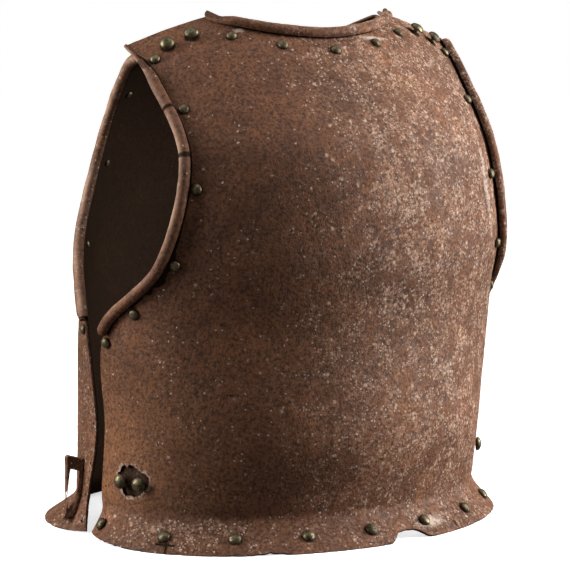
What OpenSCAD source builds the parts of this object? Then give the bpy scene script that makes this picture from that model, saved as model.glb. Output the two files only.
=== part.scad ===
// Cuirass: a breastplate and a backplate of forged sheet iron, with edges rolled over wire,
// brass lining rivets, strap and belt rivets, and belt loops at the waist.
// Millimetres. +Z up, the breast faces -Y, the back faces +Y, the wearer's left is +X,
// and both hems stand on Z = 0.

/* [Levels above the hem] */
// Waist crease, where the flanges turn out
waist_z = 20; // [16:0.5:24]
// Loin, just above the crease
loin_z = 37; // [32:0.5:42]
// Flank
flank_z = 85; // [75:1:95]
// Armpit
armpit_z = 162; // [150:1:172]
// Fullest part of the chest
chest_z = 225; // [215:1:235]
// Shoulder blades
blade_z = 298; // [288:1:308]
// Shoulders
shoulder_z = 361; // [352:1:368]
// Slope of the shoulders
yoke_z = 390; // [386:1:394]
// Top of the shoulders, at the middle of the back
crest_z = 406.5; // [402:0.5:412]

/* [Backplate: width and depth from the side seam] */
// Width at the waist crease
back_waist_w = 325; // [315:0.5:335]
// Width at the loin
back_loin_w = 323; // [313:0.5:333]
// Width at the flank
back_flank_w = 325.5; // [315.5:0.5:335.5]
// Width at the armpit
back_armpit_w = 348.5; // [338.5:0.5:358.5]
// Width that the chest's curve would have without the armholes
back_chest_w = 367; // [358:0.5:376]
// Width that the blades' curve would have without the armholes
back_blade_w = 361.5; // [352.5:0.5:370.5]
// Width that the shoulders' curve would have without the armholes
back_shoulder_w = 342.5; // [335:0.5:350]
// Width that the yoke's curve would have without the armholes
back_yoke_w = 330; // [324:0.5:336]
// Width that the crest's curve would have without the armholes
back_crest_w = 328; // [323:0.5:333]
// Depth at the waist crease
back_waist_d = 117; // [109:0.5:125]
// Depth at the loin
back_loin_d = 118.5; // [110.5:0.5:126.5]
// Depth at the flank
back_flank_d = 131.5; // [123.5:0.5:139.5]
// Depth at the armpit
back_armpit_d = 126.5; // [118.5:0.5:134.5]
// Depth at the chest
back_chest_d = 135.5; // [128:0.5:143]
// Depth at the blades
back_blade_d = 127.5; // [120:0.5:135]
// Depth at the shoulders
back_shoulder_d = 100; // [95:0.5:105]
// Depth at the yoke
back_yoke_d = 70.5; // [67:0.5:74]
// Depth at the crest
back_crest_d = 33; // [30:0.5:36]

/* [Breastplate: width against the backplate, and depth from the side seam] */
// How much wider than the backplate at the waist crease
breast_waist_over = 10; // [0:0.5:20]
// How much wider than the backplate at the loin
breast_loin_over = 5; // [-5:0.5:15]
// How much wider than the backplate at the flank
breast_flank_over = -4.5; // [-14.5:0.5:5.5]
// How much wider than the backplate at the armpit
breast_armpit_over = -36.5; // [-46.5:0.5:-26.5]
// How much wider than the backplate at the chest
breast_chest_over = -52; // [-62:0.5:-42]
// How much wider than the backplate at the upper chest
breast_upper_over = -43.5; // [-52.5:0.5:-34.5]
// How much wider than the backplate at the collar
breast_collar_over = -34.5; // [-42.5:0.5:-26.5]
// How much wider than the backplate at the yoke
breast_yoke_over = -43; // [-49:0.5:-37]
// Depth at the waist crease
breast_waist_d = 115; // [107:0.5:123]
// Depth at the loin
breast_loin_d = 115; // [107:0.5:123]
// Depth at the flank
breast_flank_d = 128; // [120:0.5:136]
// Depth at the armpit
breast_armpit_d = 138.5; // [130.5:0.5:146.5]
// Depth at the chest
breast_chest_d = 134; // [126:0.5:142]
// Depth at the upper chest
breast_upper_d = 113; // [107:0.5:119]
// Depth at the collar
breast_collar_d = 71.5; // [67:0.5:76]
// Depth at the yoke
breast_yoke_d = 32; // [28:0.5:36]
// How far the side seam of the breastplate lies in front of the backplate's
seam_gap = 22; // [16:0.5:28]
// Height of the low ridge down the middle of the breastplate
keel_h = 6; // [0:0.5:12]
// Half the width of the breastplate at its shoulder ends
breast_shoulder_half = 134; // [130:0.5:137]

/* [Sheet and rolled edges] */
// Thickness of the backplate
back_t = 2; // [1.4:0.1:2.6]
// Thickness of the breastplate
breast_t = 2.4; // [1.4:0.1:3]
// Thickness of the sheet where it is rolled over the wire
edge_t = 1.4; // [1:0.1:1.8]
// Outside diameter of the rolled edges
roll_d = 8.6; // [8:0.1:10]
// Angle through which the edges are rolled
roll_turn = 280; // [250:5:290]
// Clearance between the wire and the rolled sheet
wire_clear = 0.5; // [0.3:0.05:0.8]
// Clearance between the shoulder ends, where the backplate lies over the breastplate
lap_clear = 0.6; // [0.4:0.05:1.2]

/* [Waist flanges] */
// How far the backplate's flange stands out behind
back_flare = 19; // [14:0.5:24]
// How far the backplate's flange stands out at its side ends
back_flare_end = 9; // [5:0.5:13]
// How far the breastplate's flange stands out in front
breast_flare = 28; // [22:0.5:32]
// How far the breastplate's flange stands out at its side ends
breast_flare_end = 1; // [0:0.5:5]
// How far the side ends of the backplate's flange stand above the hem
back_hem_rise = 3; // [0:0.5:6]
// How far the side ends of the breastplate's flange stand above the hem
breast_hem_rise = 1; // [0:0.5:6]

/* [Rivets] */
// Diameter of the rivet shanks
shank_d = 3; // [2.4:0.1:3.6]
// Clearance round a shank in its hole
hole_clear = 0.1; // [0.05:0.05:0.3]
// Head of the lining rivets along the neck and armholes
edge_head_d = 8; // [6:0.5:9]
// Head of the lining rivets along the waist
waist_head_d = 9.5; // [7:0.5:11]
// Head of the strap and belt rivets
strap_head_d = 11.5; // [10:0.5:13]
// Thickness of the leather that the strap and belt rivets once held
leather_t = 3; // [2:0.5:4]
// Distance of the lining rivets from the rolled edges
rivet_inset = 9.5; // [9:0.5:14]
// Distance of the strap rivets from the shoulder ends
strap_inset = 19.5; // [16:0.5:22]
// Diameter of the empty lining holes
lining_hole_d = 2; // [1.6:0.1:2.6]

/* [Belt fittings] */
// How far the belt loops stand off the breastplate
loop_stand = 13; // [11:0.5:16]
// Thickness of the loops' bars
loop_bar = 3; // [2.5:0.1:3.5]
// Width of the loops' bars
loop_w = 6; // [5:0.5:10]
// Height of the loops' top above the hem
loop_top = 59; // [54:0.5:66]
// Thickness of the plates behind the belt rivets
washer_t = 1.6; // [1:0.1:2.4]

/* [Hidden] */

iron = [0.42, 0.29, 0.23];
brass = [0.45, 0.40, 0.24];

// A level is [height, width, depth, shift of its middle, fall at its sides, half angle to its edge, ridge]
back_levels = [
    [waist_z, back_waist_w, back_waist_d, 0, 0, 91.5, 0],
    [loin_z, back_loin_w, back_loin_d, 0, 0, 92, 0],
    [flank_z, back_flank_w, back_flank_d, 0, 0, 88, 0],
    [armpit_z, back_armpit_w, back_armpit_d, 0, 0, 80, 0],
    [chest_z, back_chest_w, back_chest_d, -1.5, 8.5, 55.5, 0],
    [blade_z, back_blade_w, back_blade_d, -2, 8.5, 48.5, 0],
    [shoulder_z, back_shoulder_w, back_shoulder_d, -18.5, 23.5, 53, 0],
    [yoke_z, back_yoke_w, back_yoke_d, -19.5, 34, 58, 0],
    [crest_z, back_crest_w, back_crest_d, -12.5, 41.5, 60.5, 0]];
breast_levels = [
    [waist_z, back_waist_w + breast_waist_over, breast_waist_d, seam_gap, 0, 91.5, 1],
    [loin_z, back_loin_w + breast_loin_over, breast_loin_d, seam_gap, 0, 91, 1],
    [flank_z, back_flank_w + breast_flank_over, breast_flank_d, seam_gap, 0, 93, 1],
    [armpit_z, back_armpit_w + breast_armpit_over, breast_armpit_d, seam_gap - 1, 0, 80.5, 1],
    [chest_z, back_chest_w + breast_chest_over, breast_chest_d, seam_gap - 4, 8, 57.5, 0.9],
    [blade_z, back_blade_w + breast_upper_over, breast_upper_d, seam_gap - 4, 8, 42, 0.6],
    [shoulder_z, back_shoulder_w + breast_collar_over, breast_collar_d, seam_gap - 10, 24, 43, 0.2],
    [yoke_z, back_yoke_w + breast_yoke_over, breast_yoke_d, seam_gap - 20, 38, 54, 0]];

// How sharply the breastplate's ridge falls away, and the share from which the hem rises to its side ends
keel_power = 4;
level_share = 0.6;
// Level of the backplate at which the breastplate's shoulder ends stop
lap_level = 8.72;
// Level of both plates at the top of the shoulders
ridge_level = 9;
// Shares and levels of the rivets: a share is 0 in the middle and 1 at the side edge
back_neck_rivet_shares = [-0.83, -0.46, 0, 0.46, 0.83];
breast_neck_rivet_shares = [-0.88, -0.46, 0, 0.46, 0.88];
back_arm_levels = [7.6, 6.55, 5.73, 5.04, 4.42];
breast_arm_levels = [7.4, 6.6, 5.8, 5, 4.25];
side_rivet_level = 3.9;
waist_rivet_level = 0.5;
waist_rivet_shares = [-0.95, -0.645, -0.415, -0.197, 0, 0.197, 0.415, 0.645, 0.95];
strap_shares = [0.64, 0.79];
belt_shares = [0.768, 0.857];
belt_level = 2.3;
stud_share = 0.72;
side_hole_levels = [0.4, 1.65, 2.43, 3, 3.35, 3.7];
flange_holes = 5;
flange_hole_level = 0.4;
side_rivet_inset = 5;
neck_rivet_extra = 5;
neck_rivet_inset = rivet_inset + neck_rivet_extra;
lining_hole_inset = 4;
stud_level = 7.7;
// Rust holes in the backplate: [share, level, diameter]
rust_holes = [[0.775, 2.3, 16], [0.815, 2.24, 22], [0.865, 2.3, 15], [0.83, 2.42, 14]];
bite_share = -0.115;
bite_r = 22;
bite_depth = 6;
bite_sides = 48;
// Rivet details
round_sides = 24;
head_edge = 0.4;
dome_share = 0.28;
dome_step = 18;
peen_d = shank_d + 2;
peen_h = 0.9;
seat_gap = 0.25;
hole_reach = 14;
washer_w = 44;
washer_h = 32;
washer_clear = 0.3;
// Belt loop details: bar above the slot, leaf against the sheet, and where the bar kicks out to its foot
loop_in = 12.5;
loop_head = 10.5;
leaf_t = 2;
leaf_swell = 3.5;
leaf_swell_z = 34;
leaf_swell_power = 1.5;
loop_clear = 0.3;
loop_bend_z = 27;
loop_foot_z = 9;
loop_kick = 5;
loop_slot_level = 0.62;
slot_end_w = 0.3;
loop_rivet_d = 2.4;
loop_rivet_levels = [1.65, 2.12];
loop_rivet_proud = 0.2;
loop_rivet_end = 0.8;

// A plate is [front, levels, flare, end flare, flare's power, neck share, neck level, neck's power,
// thickness, number of its last level, columns at each end of the neck that stay plain, hem's rise]
back = [1, back_levels, back_flare, back_flare_end, 4.4, 0.484, 7.65, 1.84, back_t, 9, 0,
    back_hem_rise];
breast = [-1, breast_levels, breast_flare, breast_flare_end, 6, 0.55, 7.1, 3.3, breast_t, 10, 2,
    breast_hem_rise];
face = 0;
levels = 1;
flare = 2;
flare_end = 3;
flare_power = 4;
neck_share = 5;
neck_level = 6;
neck_power = 7;
sheet = 8;
last = 9;
plain = 10;
end_rise = 11;
// Places of the values in a level
height = 0;
width = 1;
depth = 2;
shift = 3;
fall = 4;
spread = 5;
ridge = 6;

// Levels at which the rows of the mesh lie, and the row where the armhole begins
back_rows = [0, 0.3, 0.7, 1, 1.4, 2, 2.5, 3, 3.5, 4, 4.33, 4.67, 5, 5.33, 5.67, 6, 6.33, 6.67, 7, 7.4,
    7.8, 8.2, 8.6, 9];
breast_rows = [0, 0.3, 0.7, 1, 1.4, 2, 2.5, 3, 3.5, 4, 4.33, 4.67, 5, 5.33, 5.67, 6, 6.33, 6.67, 7, 7.4,
    7.8, 8.2, 8.5, 8.75, 9, 9.35, 9.7, 10];
arm_row = 9;
breast_arm_end_row = 22;
// Level above which the neck pulls the mesh down
body_level = 5;
// Shares of the neck's half width at which the columns lie, and steps from there to the side edge
neck_steps = [0, 0.25, 0.5, 0.7, 0.85, 0.95];
side_steps = 9;
half_columns = concat([for (u = neck_steps) u], [for (k = [0:side_steps]) 1 + k / side_steps]);
columns = concat([for (k = [len(half_columns) - 1:-1:1]) -half_columns[k]], half_columns);
middle = len(half_columns) - 1;
neck_columns = len(neck_steps);
curl_steps = 7;
roll_r = (roll_d - edge_t) / 2;
// How much of the roll's radius is left at the last rows, towards the shoulders
roll_taper = [0.9, 0.75, 0.55];
wire_r = (roll_r - edge_t / 2) * cos(roll_turn / curl_steps / 2) - wire_clear;
wire_sides = 8;
small = 0.002;

function unit(v) = v / norm(v);
function share(p, c) = abs(c) <= 1 ? c * p[neck_share]
    : sign(c) * (p[neck_share] + (abs(c) - 1) * (1 - p[neck_share]));

// A level's curve: share s runs from -1 at one side edge to 1 at the other
function level_point(p, k, s) =
    let (
        l = p[levels][k],
        a = l[spread] * s,
        keel = keel_h * l[ridge] * pow(max(1 - abs(s), 0), keel_power),
        y = p[face] * (l[shift] + l[depth] * cos(a) + keel))
    [l[width] / 2 * sin(a), y, l[height] - l[fall] * pow(sin(a), 2)];
// The hem lies outside the waist crease by the flare, and rises to the side ends
function hem_point(p, s) =
    let (l = p[levels][0], a = l[spread] * s,
        out = unit([l[depth] * sin(a), p[face] * l[width] / 2 * cos(a), 0]),
        f = p[flare_end] + (p[flare] - p[flare_end]) * (1 - pow(abs(s), p[flare_power])),
        q = level_point(p, 0, s) + f * out)
    [q[0], q[1], p[end_rise] * pow(max(abs(s) - level_share, 0) / (1 - level_share), 2)];
// A point of the breastplate's shoulder end, which follows the backplate's inner face
function under_point(s, t) =
    let (b = asin(2 * breast_shoulder_half * s / back_crest_w) / back_levels[8][spread])
    point(back, b, t) - normal(back, b, t) * (back_t / 2 + lap_clear + breast_t / 2);
function column(p, s) = concat([hem_point(p, s)], [for (k = [0:len(p[levels]) - 1]) level_point(p, k, s)],
    p[face] < 0 ? [under_point(s, ridge_level), under_point(s, lap_level)] : []);
// A smooth curve through a column's points
function along(q, t) =
    let (n = len(q), i = max(min(floor(t), n - 2), 0), f = t - i, b = q[i], c = q[i + 1],
        a = i > 0 ? q[i - 1] : 2 * b - c, d = i < n - 2 ? q[i + 2] : 2 * c - b)
    b + f / 2 * (c - a + f * (2 * a - 5 * b + 4 * c - d + f * (3 * (b - c) + d - a)));
// Behind its ridge the breastplate keeps to the backplate's inner face
function column_point(p, q, s, t) = p[face] < 0 && t > ridge_level
    ? under_point(s, ridge_level - (t - ridge_level) * (ridge_level - lap_level)) : along(q, t);
function point(p, s, t) = column_point(p, column(p, s), s, t);
// How the place changes with the share and with the level
function by_share(p, s, t) = (point(p, s + small, t) - point(p, s - small, t)) / (2 * small);
function by_level(p, s, t) =
    let (q = column(p, s), a = min(t + small, p[last]))
    (column_point(p, q, s, a) - column_point(p, q, s, a - 2 * small)) / (2 * small);
function normal(p, s, t) = unit(cross(by_share(p, s, t), by_level(p, s, t))) * -p[face];
// The level at which a column ends: lower across the neck
function top_level(p, s) =
    let (u = min(abs(s) / p[neck_share], 1))
    p[last] - (p[last] - p[neck_level]) * pow(1 - pow(u, p[neck_power]), 1 / p[neck_power]);
function row_level(p, s, t) =
    t <= body_level ? t
    : body_level + (t - body_level) * (top_level(p, s) - body_level) / (p[last] - body_level);

// A mesh point is [place, outward normal, direction across, direction up]
function mesh(p, rows) = [for (c = columns)
    let (s = share(p, c), q = column(p, s), q1 = column(p, s - small), q2 = column(p, s + small))
    [for (r = rows)
        let (t = row_level(p, s, r), up = unit(by_level(p, s, t)),
            across = unit(column_point(p, q2, s + small, t) - column_point(p, q1, s - small, t)))
        [column_point(p, q, s, t), unit(cross(across, up)) * -p[face], across, up]]];
back_mesh = mesh(back, back_rows);
breast_mesh = mesh(breast, breast_rows);
function mesh_of(p) = p[face] > 0 ? back_mesh : breast_mesh;
function rows_of(p) = p[face] > 0 ? back_rows : breast_rows;

// The part's middle from front to back, which stands over the origin
front_y = min([for (c = breast_mesh) for (v = c) v[0][1] + breast_t / 2 * v[1][1]]);
back_y = max([for (c = back_mesh) for (v = c) v[0][1] + back_t / 2 * v[1][1]]);
module centred() {
    translate([0, -(front_y + back_y) / 2, 0]) children();
}

// Frames of the rolled edges: [place, normal, direction out of the sheet, radius]
function last_arm_row(p) = p[face] > 0 ? len(back_rows) - 1 : breast_arm_end_row;
function arm_frame(p, side, j) =
    let (m = mesh_of(p), i = side > 0 ? len(m) - 1 : 0, v = m[i][j], left = last_arm_row(p) - j,
        run = unit(m[i][min(j + 1, len(m[i]) - 1)][0] - m[i][j - 1][0]), out = side * v[2])
    [v[0], v[1], unit(out - (out * run) * run - (out * v[1]) * v[1]),
        roll_r * (left < len(roll_taper) ? roll_taper[len(roll_taper) - 1 - left] : 1)];
function neck_frame(p, i) =
    let (m = mesh_of(p), j = len(m[i]) - 1, v = m[i][j], a = max(i - 1, neck_start(p)),
        b = min(i + 1, neck_end(p)), run = unit(m[b][j][0] - m[a][j][0]))
    [v[0], v[1], unit(v[3] - (v[3] * run) * run - (v[3] * v[1]) * v[1]), roll_r];
function neck_start(p) = middle - neck_columns + p[plain];
function neck_end(p) = middle + neck_columns - p[plain];
function roll_centre(f) = f[0] + f[1] * f[3];
function roll_point(f, k) =
    let (a = k * roll_turn / curl_steps)
    roll_centre(f) + f[3] * (f[2] * sin(a) - f[1] * cos(a));
function roll_normal(f, k) = (roll_centre(f) - roll_point(f, k)) / f[3];

// The faces of a sheet whose outer points come first: its outer cells, its inner cells, and its cut edge
function sheet_faces(cells, rim, all, outwards) =
    let (
        n = len(rim),
        walls = [for (i = [0:n - 1]) let (a = rim[i], b = rim[(i + 1) % n]) [b, a, a + all, b + all]],
        quads = concat(cells, [for (q = cells) [q[0] + all, q[3] + all, q[2] + all, q[1] + all]], walls))
    [for (q = quads) each (outwards ? [[q[0], q[1], q[2]], [q[0], q[2], q[3]]]
        : [[q[2], q[1], q[0]], [q[3], q[2], q[0]]])];

// A plate as one closed shell: the body of the sheet, then its rolls at the armholes and neck
module shell(p) {
    m = mesh_of(p);
    ni = len(m) - 1;
    nj = len(m[0]) - 1;
    ja = arm_row;
    jt = last_arm_row(p);
    i0 = neck_start(p);
    i1 = neck_end(p);
    rolls = [[for (j = [ja:jt]) arm_frame(p, 1, j)], [for (j = [ja:jt]) arm_frame(p, -1, j)],
        [for (i = [i0:i1]) neck_frame(p, i)]];
    sizes = [for (r = rolls) len(r)];
    body_n = (ni + 1) * (nj + 1);
    starts = [body_n, body_n + curl_steps * sizes[0], body_n + curl_steps * (sizes[0] + sizes[1])];
    all = starts[2] + curl_steps * sizes[2];
    half = p[sheet] / 2;
    // the hem's cut edge is level, so that it stands flat
    function skin(v, j, d) = v[0] + d * (j == 0 ? unit([v[1][0], v[1][1], 0]) : v[1]);
    function rolled(d) = [for (r = rolls) for (f = r) for (k = [1:curl_steps])
        roll_point(f, k) + d * roll_normal(f, k)];
    outside = concat([for (c = m) for (j = [0:nj]) skin(c[j], j, half)], rolled(edge_t / 2));
    inside = concat([for (c = m) for (j = [0:nj]) skin(c[j], j, -half)], rolled(-edge_t / 2));
    function body(i, j) = i * (nj + 1) + j;
    // the point k steps round roll r at its n-th frame
    function edge(r, n, k) = k > 0 ? starts[r] + n * curl_steps + k - 1
        : r == 0 ? body(ni, ja + n) : r == 1 ? body(0, ja + n) : body(i0 + n, nj);
    function cell(r, n, k) =
        let (q = [edge(r, n, k), edge(r, n, k + 1), edge(r, n + 1, k + 1), edge(r, n + 1, k)])
        r == 0 ? q : [q[1], q[0], q[3], q[2]];
    cells = concat(
        [for (i = [0:ni - 1]) for (j = [0:nj - 1])
            let (q = [body(i, j), body(i + 1, j), body(i + 1, j + 1), body(i, j + 1)])
            i < middle ? q : [q[1], q[2], q[3], q[0]]],
        [for (r = [0:2]) for (n = [0:sizes[r] - 2]) for (k = [0:curl_steps - 1]) cell(r, n, k)]);
    // once round the cut edge: hem, left armhole, left shoulder, neck, right shoulder, right armhole
    c = curl_steps;
    rim = concat(
        [for (i = [0:ni]) body(i, 0)],
        [for (j = [1:ja]) body(ni, j)],
        [for (k = [1:c]) edge(0, 0, k)],
        [for (n = [1:sizes[0] - 1]) edge(0, n, c)],
        [for (k = [c - 1:-1:0]) edge(0, sizes[0] - 1, k)],
        jt < nj ? [for (j = [jt + 1:nj]) body(ni, j)] : [],
        [for (i = [ni - 1:-1:i1]) body(i, nj)],
        [for (k = [1:c]) edge(2, sizes[2] - 1, k)],
        [for (n = [sizes[2] - 2:-1:0]) edge(2, n, c)],
        [for (k = [c - 1:-1:0]) edge(2, 0, k)],
        [for (i = [i0 - 1:-1:0]) body(i, nj)],
        jt < nj ? [for (j = [nj - 1:-1:jt]) body(0, j)] : [],
        [for (k = [1:c]) edge(1, sizes[1] - 1, k)],
        [for (n = [sizes[1] - 2:-1:0]) edge(1, n, c)],
        [for (k = [c - 1:-1:0]) edge(1, 0, k)],
        [for (j = [ja - 1:-1:1]) body(0, j)]);
    faces = sheet_faces(cells, rim, all, p[face] > 0);
    polyhedron(points = concat(outside, inside), faces = faces, convexity = 10);
}

// The wire inside a rolled edge, from the frames along it
module wire(frames) {
    n = len(frames);
    rings = [for (f = frames) for (k = [0:wire_sides - 1])
        let (a = 360 * k / wire_sides)
        roll_centre(f) + min(wire_r, wire_r * f[3] / roll_r) * (f[1] * cos(a) + f[2] * sin(a))];
    function ring(i, k) = i * wire_sides + k % wire_sides;
    sides = [for (i = [0:n - 2]) for (k = [0:wire_sides - 1])
        each [
            [ring(i, k), ring(i, k + 1), ring(i + 1, k + 1)],
            [ring(i, k), ring(i + 1, k + 1), ring(i + 1, k)]]];
    ends = concat([for (k = [1:wire_sides - 2]) [ring(0, 0), ring(0, k + 1), ring(0, k)]],
        [for (k = [1:wire_sides - 2]) [ring(n - 1, 0), ring(n - 1, k), ring(n - 1, k + 1)]]);
    inwards = cross(frames[0][1], frames[0][2]) * (frames[1][0] - frames[0][0]) > 0;
    faces = [for (f = concat(sides, ends)) inwards ? [f[2], f[1], f[0]] : f];
    polyhedron(points = rings, faces = faces, convexity = 6);
}
module neck_wire(p) {
    color(iron) wire([for (i = [neck_start(p):neck_end(p)]) neck_frame(p, i)]);
}
module arm_wire(p, side) {
    color(iron) wire([for (j = [arm_row:last_arm_row(p) - len(roll_taper)]) arm_frame(p, side, j)]);
}

// Places on the sheet are [share, level]
function level_across(p, s, d) = [s, p[last] - d / norm(by_level(p, s, p[last]))];
// The place a distance d in from a place on an edge, square to the edge's direction out
function inset(p, place, out, d) =
    let (
        a = by_share(p, place[0], place[1]),
        b = by_level(p, place[0], place[1]),
        oa = out * a,
        ob = out * b,
        ab = a * b,
        det = (a * a) * (b * b) - ab * ab)
    [place[0] - d * (oa * (b * b) - ob * ab) / det, place[1] - d * (ob * (a * a) - oa * ab) / det];
function neck_inset(p, u) =
    let (
        s = u * p[neck_share],
        t = top_level(p, s),
        up = by_level(p, s, t),
        left = point(p, s + small, top_level(p, s + small)),
        right = point(p, s - small, top_level(p, s - small)),
        run = unit(left - right))
    inset(p, [s, t], unit(up - (up * run) * run), neck_rivet_inset);
function arm_inset(p, side, t) =
    let (across = side * by_share(p, side, t), run = unit(by_level(p, side, t)))
    inset(p, [side, t], unit(across - (across * run) * run), rivet_inset);
function side_inset(p, side, t, d) = [side * (1 - d / norm(by_share(p, side, t))), t];

// The flat of the sheet's mesh at a place, as a frame with Z outwards and Y up the sheet
function flat(p, place) =
    let (s = place[0], t = place[1], m = mesh_of(p), rows = rows_of(p), q = point(p, s, t),
        i = max([for (k = [0:len(columns) - 2]) share(p, columns[k]) <= s ? k : 0]),
        fi = (s - share(p, columns[i])) / (share(p, columns[i + 1]) - share(p, columns[i])),
        levels_here = [for (r = rows) row_level(p, share(p, columns[i]), r) * (1 - fi)
            + row_level(p, share(p, columns[i + 1]), r) * fi],
        j = max([for (k = [0:len(rows) - 2]) levels_here[k] <= t ? k : 0]),
        fj = (t - levels_here[j]) / (levels_here[j + 1] - levels_here[j]),
        side = i < middle ? 1 : -1, o = i < middle ? i : i + 1, low = (i < middle ? fi : 1 - fi) > fj,
        a = m[o][j][0], b = low ? m[o + side][j][0] : m[o][j + 1][0], c = m[o + side][j + 1][0],
        n = unit(cross(c - a, b - a)) * p[face] * side * (low ? 1 : -1), g = by_level(p, s, t),
        up = unit(g - (g * n) * n))
    [q + n * ((a - q) * n), cross(up, n), up, n];
module at(p, place) {
    f = flat(p, place);
    multmatrix([for (k = [0:2]) [f[1][k], f[2][k], f[3][k], f[0][k]]]) children();
}

// A round rivet: its head stands above Z = 0, and its shank goes down through the grip to a peened end
module rivet(head_d, grip) {
    dome = [for (a = [0:dome_step:90]) [head_d / 2 * cos(a), head_edge + head_d * dome_share * sin(a)]];
    rotate_extrude($fn = round_sides)
        polygon(concat([[0, -grip - peen_h], [peen_d / 2, -grip - peen_h], [peen_d / 2, -grip],
            [shank_d / 2, -grip], [shank_d / 2, 0], [head_d / 2, 0]], dome));
}
// How far the sheet rises above its flat at a place, within a radius; side -1 is its inner face
function rise(p, place, r, side) =
    let (f = flat(p, place), a = r / norm(by_share(p, place[0], place[1])),
        b = r / norm(by_level(p, place[0], place[1])))
    max(0, max([for (k = [0:45:315])
        side * ((point(p, place[0] + a * cos(k), place[1] + b * sin(k)) - f[0]) * f[3])]));
// A rivet in the sheet, its head lifted by what it holds and its grip lengthened by what lies behind
module set_rivet(p, place, head_d, held = 0, behind = 0) {
    over = max(held, rise(p, place, head_d / 2, 1)) + seat_gap;
    under = rise(p, place, peen_d / 2, -1) + seat_gap;
    at(p, place) translate([0, 0, p[sheet] / 2 + over]) rivet(head_d, p[sheet] + over + under + behind);
}
module hole(p, place, d) {
    at(p, place) translate([0, 0, -hole_reach / 2]) cylinder(d = d, h = hole_reach, $fn = round_sides);
}
module rivet_hole(p, place) { hole(p, place, shank_d + 2 * hole_clear); }

function neck_places(p) =
    [for (u = p[face] > 0 ? back_neck_rivet_shares : breast_neck_rivet_shares) neck_inset(p, u)];
function arm_places(p, side) = concat(
    [for (t = p[face] > 0 ? back_arm_levels : breast_arm_levels) arm_inset(p, side, t)],
    [side_inset(p, side, side_rivet_level, side_rivet_inset)]);
waist_places = [for (s = waist_rivet_shares) [s, waist_rivet_level]];
function strap_places(side) = [for (s = strap_shares) level_across(back, side * s, strap_inset)];
function belt_places(side) = [for (s = belt_shares) [side * s, belt_level]];

module backplate() {
    color(iron) difference() {
        shell(back);
        for (q = concat(neck_places(back), arm_places(back, 1), arm_places(back, -1), waist_places,
            strap_places(1), strap_places(-1), belt_places(-1)))
            rivet_hole(back, q);
        // rusted through round the left belt rivets
        for (q = rust_holes) hole(back, [q[0], q[1]], q[2]);
        hole(back, side_inset(back, 1, belt_level, lining_hole_inset), lining_hole_d);
        // a bite rusted out of the hem
        translate([point(back, bite_share, 0)[0], back_waist_d / 2, bite_depth - bite_r])
            rotate([-90, 0, 0]) cylinder(r = bite_r, h = back_waist_d, $fn = bite_sides);
    }
}
module breastplate() {
    color(iron) difference() {
        shell(breast);
        for (q = concat(neck_places(breast), arm_places(breast, 1), arm_places(breast, -1),
            [for (side = [-1, 1]) stud_place(side)]))
            rivet_hole(breast, q);
        for (side = [-1, 1]) {
            for (t = side_hole_levels)
                hole(breast, side_inset(breast, side, t, lining_hole_inset), lining_hole_d);
            for (k = [0.5:flange_holes])
                hole(breast, [side * k / (flange_holes + 0.5), flange_hole_level], lining_hole_d);
            for (t = loop_rivet_levels) loop_bore(side, t);
        }
    }
}

// Lining, strap and belt rivets
module rivets(p, places, head_d, held = 0, behind = 0) {
    color(brass) for (q = places) set_rivet(p, q, head_d, held, behind);
}

// A plate behind the belt rivets, which follows the inside of the sheet
module belt_washer(side) {
    s0 = (belt_shares[0] + belt_shares[1]) / 2;
    wide = washer_w / norm(by_share(back, s0, belt_level));
    high = washer_h / norm(by_level(back, s0, belt_level));
    steps = 4;
    rise = 2;
    function share_at(i) = side * (s0 + wide * (i / steps - 0.5));
    function level_at(j) = belt_level + high * (j / rise - 0.5);
    function pt(i, j, d) =
        let (s = share_at(i), t = level_at(j)) point(back, s, t) - normal(back, s, t) * d;
    outer = back_t / 2 + washer_clear;
    pts = concat([for (i = [0:steps]) for (j = [0:rise]) pt(i, j, outer)],
        [for (i = [0:steps]) for (j = [0:rise]) pt(i, j, outer + washer_t)]);
    all = (steps + 1) * (rise + 1);
    function id(i, j) = i * (rise + 1) + j;
    cells = [for (i = [0:steps - 1]) for (j = [0:rise - 1])
        [id(i, j), id(i + 1, j), id(i + 1, j + 1), id(i, j + 1)]];
    rim = concat([for (i = [0:steps]) id(i, 0)], [for (j = [1:rise]) id(steps, j)],
        [for (i = [steps - 1:-1:0]) id(i, rise)], [for (j = [rise - 1:-1:1]) id(0, j)]);
    color(iron) difference() {
        polyhedron(points = pts, faces = sheet_faces(cells, rim, all, side > 0), convexity = 4);
        for (q = belt_places(side)) rivet_hole(back, q);
    }
}

// The studs that held the front ends of the shoulder straps
function stud_place(side) = [side * stud_share, stud_level];
module strap_stud(side) {
    color(brass) set_rivet(breast, stud_place(side), strap_head_d, leather_t);
}

// A belt loop's profile lies in a plane square to the sheet:
// [distance out from the sheet at the loin, height]
loop_share = acos(loop_in / breast_loin_d) / breast_levels[1][spread];
loop_normal = let (n = normal(breast, loop_share, 2)) unit([n[0], n[1], 0]);
loop_origin = let (q = point(breast, loop_share, 2) + loop_normal * breast_t / 2) [q[0], q[1], 0];
function sheet_line(s, t) =
    let (q = point(breast, s, t) + normal(breast, s, t) * breast_t / 2 - loop_origin)
    [q * loop_normal, q[2]];
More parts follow.
